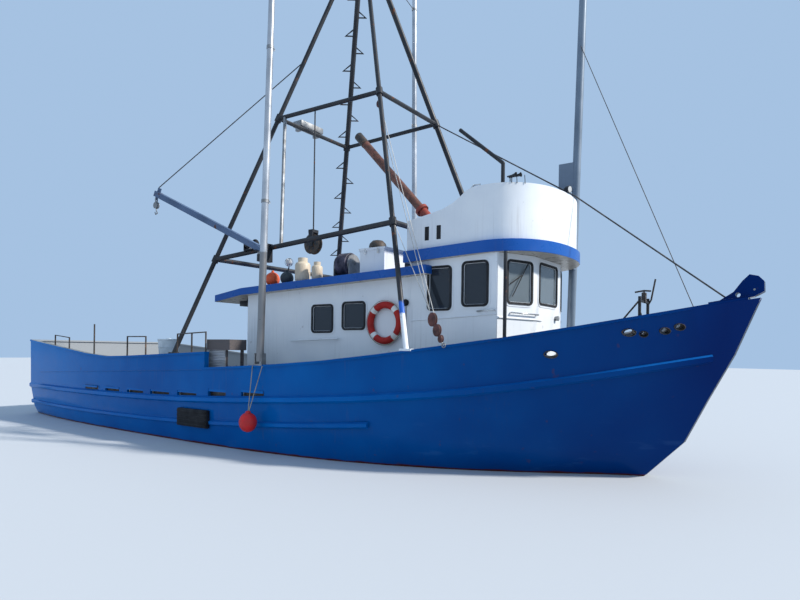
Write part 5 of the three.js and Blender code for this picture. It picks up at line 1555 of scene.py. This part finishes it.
@dataclass
class RoofGear(Works):
    """What stands on the deckhouse roof, and the life ring on its wall."""

    roof_level: float = 3.257
    roof_slope: float = 0.0375
    hose_layers: Sequence[tuple[int, int]] = ((0, 9), (1, 8), (2, 7))
    hose_pitch: float = 0.037
    ring_radius: float = 0.325
    ring_tube: float = 0.063

    def roof(self, x: float) -> float:
        """Height of the roof at a length."""
        return self.roof_level + self.roof_slope * x

    def build(self) -> None:
        """Dresses the roof gear."""
        self.floats()
        self.gas_bottles()
        self.hose_reel()
        self.life_ring()
        self.cage_lamp()
        self.locker_fittings()

    def floats(self) -> None:
        """Makes the two round floats with their rope eyes."""
        for node, radius, finish in (("float_orange", 0.152, "float"), ("float_dark", 0.139, "dark_float")):
            low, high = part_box(node)
            spot = Vector(((low.x + high.x) / 2, (low.y + high.y) / 2, low.z + radius + 0.002))
            ball = self.piece(node + "_ball", finish)
            ball.ball(spot, radius)
            neck = ((radius - 0.01, 0), (radius - 0.01, 0.034), (radius + 0.03, 0.027), (radius + 0.038, 0))
            ball.turned(neck, spot, UP)
            ball.done(node)
            place = spot + Vector((0, 0, radius + 0.02))
            eye = self.piece(node + "_eye", "rope")
            eye.hoop(place, (1, 0.4, 0), 0.018, 0.006, steps=20, sides=8).done()

    def gas_bottles(self) -> None:
        """Makes the two gas bottles with collars, valves and foot rings."""
        for node, radius, high in (("gas_bottle_large", 0.157, 0.47), ("gas_bottle_small", 0.111, 0.35)):
            low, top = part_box(node)
            x, y = (low.x + top.x) / 2, (low.y + top.y) / 2
            base = (x, y, self.roof(x))
            bottle = self.piece(node + "_shell", "bottle")
            shell = ((0.03, 0), (0.03, radius * 0.8), (0.06, radius * 0.97), (0.09, radius),
                     (high * 0.46, radius), (high * 0.465, radius + 0.003), (high * 0.48, radius + 0.003),
                     (high * 0.485, radius), (high - radius * 0.62, radius),
                     (high - radius * 0.38, radius * 0.88), (high - radius * 0.2, radius * 0.55),
                     (high - radius * 0.12, radius * 0.3), (high - radius * 0.1, 0))
            bottle.turned(shell, base, UP, 40)
            bottle.turned(sleeve(0.0, 0.055, radius * 0.82, radius * 0.86), base, UP, 40)
            bottle.done(node)
            collar = sleeve(high - radius * 0.3, high + 0.045, radius * 0.60, radius * 0.63)
            self.lathe(node + "_collar", "bottle", collar, base, UP, 40)
            valve = self.piece(node + "_valve", "bronze")
            valve.rod((x, y, base[2] + high - 0.05), (x, y, base[2] + high + 0.01), 0.016)
            wheel = ((high + 0.01, 0), (high + 0.01, 0.03), (high + 0.03, 0.032), (high + 0.032, 0))
            valve.turned(wheel, base, UP)
            valve.rod((x, y, base[2] + high - 0.02), (x + 0.05, y, base[2] + high - 0.02), 0.011)
            valve.done()

    def hose_reel(self) -> None:
        """Makes the hose reel with its wound hose."""
        self.refined("hose_reel_stand", "steel", bevel=0.003)
        low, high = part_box("hose_reel_drum")
        middle = (low + high) / 2
        drum = self.piece("hose_reel_spool", "steel", "hose_reel_drum")
        half = [(-0.219, 0), (-0.219, 0.02), (-0.179, 0.02), (-0.179, 0.19), (-0.167, 0.19), (-0.167, 0.12)]
        drum.turned(mirrored(half), middle, AHEAD, 40)
        drum.done("hose_reel_drum")
        hose = self.piece("reel_hose_turns", "hose", "hose_reel_drum")
        for layer, count in self.hose_layers:
            for k in range(count):
                along = -0.148 + k * self.hose_pitch + layer * self.hose_pitch / 2
                spot = middle + Vector((along, 0, 0))
                hose.hoop(spot, AHEAD, 0.145 + layer * 0.031, 0.019, steps=36, sides=8)
        hose.done()

    def life_ring(self) -> None:
        """Makes the life ring with its bands and grab line."""
        low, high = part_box("life_ring")
        middle = (low + high) / 2
        radius, tube = self.ring_radius, self.ring_tube
        ring = self.piece("life_ring_body", "ring")
        ring.hoop(middle, ACROSS, radius, tube, steps=64, sides=20)
        ring.done("life_ring")
        bands = self.piece("life_ring_bands", "band")
        runs = []
        for k in range(4):
            bands.hoop(middle, ACROSS, radius, tube + 0.002, (90.0 * k - 8.0, 16.0), steps=5, sides=20)
            run = []
            for i in range(13):
                angle = math.radians(45.0 + 90.0 * k + 7.5 * i)
                swell = radius + tube + 0.005 + 0.012 * math.sin(math.pi * i / 12)
                x, z = middle.x + swell * math.cos(angle), middle.z + swell * math.sin(angle)
                run.append((x, middle.y - 0.02, z))
            runs.append(run)
        bands.done()
        self.strung("life_ring_line", runs, 0.006, "rope", smooth=True)

    def cage_lamp(self) -> None:
        """Makes the caged lamp on its bent arm."""
        spot = Vector((0.245, -1.0, 3.80))
        arm = (0.22, -1.0, self.roof(0.22)), (0.22, -1.0, 3.62), (0.245, -1.0, 3.70)
        self.strung("cage_lamp_arm", [arm], 0.014, "black")
        glass = ((-0.06, 0), (-0.06, 0.05), (0.0, 0.07), (0.06, 0.05), (0.08, 0))
        self.lathe("cage_lamp_head", "lens", glass, spot, (0.2, -0.3, 1))
        cage = self.piece("cage_lamp_guard", "steel")
        for k in range(3):
            cage.hoop(spot, (math.cos(k * 1.05), math.sin(k * 1.05), 0), 0.088, 0.005, steps=28, sides=6)
        cage.done()

    def locker_fittings(self) -> None:
        """Puts hasps on the roof locker and a dark hood over its vent."""
        low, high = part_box("roof_locker")
        piece = self.piece("roof_locker_hasps", "bright")
        for x in (low.x + 0.14, high.x - 0.18):
            piece.box((x, low.y - 0.006, 3.74), (x + 0.04, low.y + 0.004, 3.84), 0.003)
        piece.done()
        dome = ((0.012, 0.0), (0.012, 0.094), (0.058, 0.094), (0.056, 0.17), (0.075, 0.168), (0.122, 0.154),
                (0.177, 0.099), (0.198, 0.0))
        self.lathe("roof_locker_vent_hood", "iron", dome, (2.69, -1.05, 3.847), UP, 36)


@dataclass
class DeckGear(Works):
    """Hatch, totes, table, bitts, windlass, bow roller, rudder, propeller and fender."""

    cover_top: float = 1.44
    tub: Point = (-2.83, -1.83, 1.51)
    tote_lip: float = 1.47
    fender_x: float = 1.15
    cladding_rods: int = 21
    cladding_pitch: float = 0.033
    plain: dict[str, str] = field(default_factory=lambda: {
        "hatch_coaming": "white", "hauling_table": "timber", "fish_totes": "tote", "bitt_starboard": "steel",
        "bitt_port": "steel", "windlass_frame": "black", "bow_roller_cheeks": "hull"})
    moving: Sequence[tuple[str, str, float]] = (
        ("hatch_cover", "steel", 0.006), ("windlass_drum", "steel", 0.0), ("bow_roller", "steel", 0.0),
        ("rudder", "hull", 0.008), ("propeller", "bronze", 0.004))

    def build(self) -> None:
        """Dresses the deck gear."""
        for node, finish in self.plain.items():
            self.refined(node, finish, bevel=0.006)
        for node, finish, bevel in self.moving:
            self.refined(node, finish, body=node, bevel=bevel)
        self.hatch_dogs()
        self.fender()
        self.tote_ribs()
        self.table_cladding()
        self.deck_rails()
        self.windlass_levers()

    def hatch_dogs(self) -> None:
        """Puts stiffeners and two dogs on the hatch cover."""
        top = self.cover_top
        piece = self.piece("hatch_stiffeners", "steel", "hatch_cover")
        for y in (-0.45, -0.15, 0.15, 0.45):
            piece.box((-4.55, y - 0.02, top - 0.002), (-3.42, y + 0.02, top + 0.022), 0.004)
        for y in (-0.6, 0.6):
            piece.turned([(0, 0), (0, 0.04), (0.03, 0.035), (0.035, 0)], (-3.42, y, top), UP)
            piece.rod((-3.48, y, top + 0.03), (-3.36, y, top + 0.03), 0.010)
        piece.done()

    def fender(self) -> None:
        """Makes the red fender float and its two lanyards."""
        x = self.fender_x
        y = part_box("fender_float")[0].y + 0.165
        ball = self.piece("fender_ball", "red")
        ball.ball((x, y, 0.6), 0.163, (1, 1, 1.1))
        ball.turned([(0.74, 0), (0.74, 0.05), (0.80, 0.045), (0.81, 0)], (x, y, 0.0), UP)
        ball.done("fender_float")
        runs = [[(x - 0.16, -2.61, 1.62), (x - 0.01, y + 0.01, 0.80)],
                [(x + 0.10, -2.605, 1.62), (x + 0.01, y + 0.01, 0.80)]]
        self.strung("fender_lanyards", runs, 0.008, "rope")

    def tote_ribs(self) -> None:
        """Puts a lip on the fish tote, and ribs and a knob on the round tub."""
        piece = self.piece("tote_lips", "tote")
        z = self.tote_lip
        for low, high in (((-3.09, -2.09), (-2.22, -2.065)), ((-3.09, -1.395), (-2.22, -1.37)),
                          ((-3.09, -2.07), (-3.065, -1.39)), ((-2.245, -2.07), (-2.22, -1.39))):
            piece.box((*low, z), (*high, z + 0.03), 0.005)
        for height, radius in ((0.24, 0.212), (0.43, 0.227)):
            rib = ((height - 0.012, radius - 0.006), (height - 0.008, radius + 0.006),
                   (height + 0.008, radius + 0.007), (height + 0.012, radius - 0.004))
            piece.turned(rib, self.tub, UP, 40)
        piece.turned([(0.619, 0.03), (0.625, 0.05), (0.636, 0.052), (0.64, 0.03), (0.64, 0.0)], self.tub, UP)
        piece.done()

    def table_cladding(self) -> None:
        """Nails a ribbed grey sheet on the table's outer panel."""
        piece = self.piece("table_cladding", "sheet")
        for k in range(self.cladding_rods):
            z = 1.24 + self.cladding_pitch * k
            piece.rod((-0.50, -2.443, z), (0.005, -2.443, z), 0.017, 10)
        piece.done()

    def deck_rails(self) -> None:
        """Stands dark pipe frames on the starboard cap rail."""
        runs = [[(-1.45, -2.54, 1.80), (-1.45, -2.54, 2.22), (-0.50, -2.54, 2.257), (-0.50, -2.54, 1.84)],
                [(-0.96, -2.54, 1.82), (-0.96, -2.54, 2.235)],
                [(-3.36, -2.54, 1.72), (-3.36, -2.54, 2.17), (-2.62, -2.54, 2.169), (-2.62, -2.54, 1.74)],
                [(-7.16, -2.36, 1.93), (-7.16, -2.36, 2.217), (-6.30, -2.41, 2.15), (-6.30, -2.41, 1.85)],
                [(-4.93, -2.48, 1.74), (-4.93, -2.48, 2.478)]]
        self.strung("deck_rails", runs, 0.018, "iron")

    def windlass_levers(self) -> None:
        """Puts the brake lever, a pawl and a brace on the windlass frame."""
        runs = [[(7.30, 0.262, 2.74), (7.35, 0.262, 2.83), (7.412, 0.262, 3.167)],
                [(7.30, -0.262, 2.79), (7.05, -0.262, 2.49), (6.97, -0.262, 2.28)],
                [(7.16, 0.0, 2.94), (7.30, 0.0, 2.96), (7.407, 0.0, 2.949)]]
        self.strung("windlass_levers", runs, 0.014, "iron")
        pawl = self.piece("windlass_pawl", "iron")
        pawl.box((7.27, -0.045, 2.77), (7.335, 0.045, 2.93), 0.012)
        pawl.rod((7.30, 0, 2.90), (7.30, 0, 2.97), 0.014)
        pawl.done()


@dataclass
class Rigging(Works):
    """Stays, the boom's topping lift, tackles and the running lines."""

    mast: Point = (1.338, 0.0, 10.9)
    frame_fore_port: Point = (2.645, 1.011, 6.9)
    frame_fore_starboard: Point = (2.645, -1.011, 6.9)
    coaming_edge: Point = (6.045, 0.3, 4.71)
    stem: Point = (8.55, 0.0, 2.738)
    lower_frame_corner: Point = (3.48, -1.655, 4.24)
    tackle_block: Point = (4.63, -2.11, 2.44)
    tackle_foot: Point = (4.87, -2.16, 2.03)
    boom_tip: Point = (-2.567, -2.301, 5.52)
    lift_head: Point = (0.44, -0.76, 8.2)
    lift_steps: int = 12
    stay_steps: int = 14

    def build(self) -> None:
        """Strings the rigging."""
        self.strung("forestay", [[self.frame_fore_port, self.coaming_edge, self.stem]], 0.013, "wire")
        self.strung("foremast_stay", [[(5.70, 1.42, 7.95), (7.95, 0.76, 2.60)]], 0.007, "wire")
        self.tackle()
        self.topping_lift()
        self.pole_stays()

    def tackle(self) -> None:
        """Makes the tackle from the upper frame to the starboard bulwark."""
        head = Vector(self.frame_fore_starboard)
        block, foot = Vector(self.tackle_block), Vector(self.tackle_foot)
        runs = [[Vector(self.lower_frame_corner), block + Vector((-0.03, 0, 0.08))]]
        for k in (-1, 1):
            runs.append([head + Vector((0.03 * k, 0, -0.25)), block + Vector((0.035 * k, 0, 0.06))])
        runs.append([head, head + Vector((0, 0, -0.2))])
        runs.append([block + Vector((0, 0, -0.05)), foot])
        self.strung("tackle_falls", runs, 0.006, "pale_rope")
        shell = self.piece("tackle_blocks", "block")
        half = ((-0.035, 0.0), (-0.035, 0.85), (-0.025, 1.0), (-0.01, 1.0), (-0.008, 0.8))
        for spot, size in ((head + Vector((0, 0, -0.24)), 0.8), (block, 1.25), (block.lerp(foot, 0.42), 1.1),
                           (block.lerp(foot, 0.75), 0.7)):
            place = Matrix.Translation(spot) @ Matrix.Rotation(math.pi / 2, 4, "X")
            shell.oval(place, mirrored(half), 0.062 * size, 0.09 * size)
            shell.rod(spot - Vector((0, 0.045, 0)), spot + Vector((0, 0.045, 0)), 0.014 * size, 12)
        shell.done()
        self.piece("tackle_shackle", "steel").hoop(foot, ACROSS, 0.03, 0.009, steps=24, sides=8).done()

    def straight(self, name: str, start: Vector, end: Vector, steps: int, radius: float) -> bpy.types.Object:
        """Makes a straight wire in steps, as a mesh.

        Args:
            name: the piece's name.
            start: where it starts.
            end: where it ends.
            steps: how many steps it has.
            radius: radius of the wire.

        Returns:
            The new object.
        """
        run = [start.lerp(end, i / steps) for i in range(steps + 1)]
        wire = self.strung(name, [run], radius, "wire", "")
        flatten(wire)
        return wire

    def topping_lift(self) -> None:
        """Makes the topping lift in two stretches."""
        tip, head = Vector(self.boom_tip), Vector(self.lift_head)
        middle = tip.lerp(head, 0.5)
        upper = self.straight("topping_lift_upper", middle, head, self.lift_steps, 0.011)
        lower = self.straight("topping_lift_lower", tip, middle, self.lift_steps, 0.011)
        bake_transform(upper)
        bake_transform(lower)

    def pole_stays(self) -> None:
        """Makes the stays between the mast and the outrigger poles."""
        for side in Side:
            name = side.label
            head = Vector(self.mast)
            foot, way = pole_line(side)
            end = foot + way * 8.7 + Vector((0, -side.value * 0.08, 0))
            stay = self.straight(f"outrigger_{name}_stay", head, end, self.stay_steps, 0.008)
            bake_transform(stay)


def flatten(piece: bpy.types.Object) -> None:
    """Turns a curve piece's data into a mesh, in place.

    Args:
        piece: the curve object.
    """
    bpy.context.view_layer.objects.active = piece
    for other in bpy.context.selected_objects:
        other.select_set(False)
    piece.select_set(True)
    bpy.ops.object.convert(target="MESH")


def main() -> None:
    """Builds and dresses the whole boat."""
    logging.basicConfig(level=logging.INFO)
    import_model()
    Studio().build()
    store = Store()
    for works in (HullWorks, Houses, Gantry, BoomGear, Outriggers, RoofGear, DeckGear, Rigging):
        works(store).build()


if __name__ == "__main__":
    main()
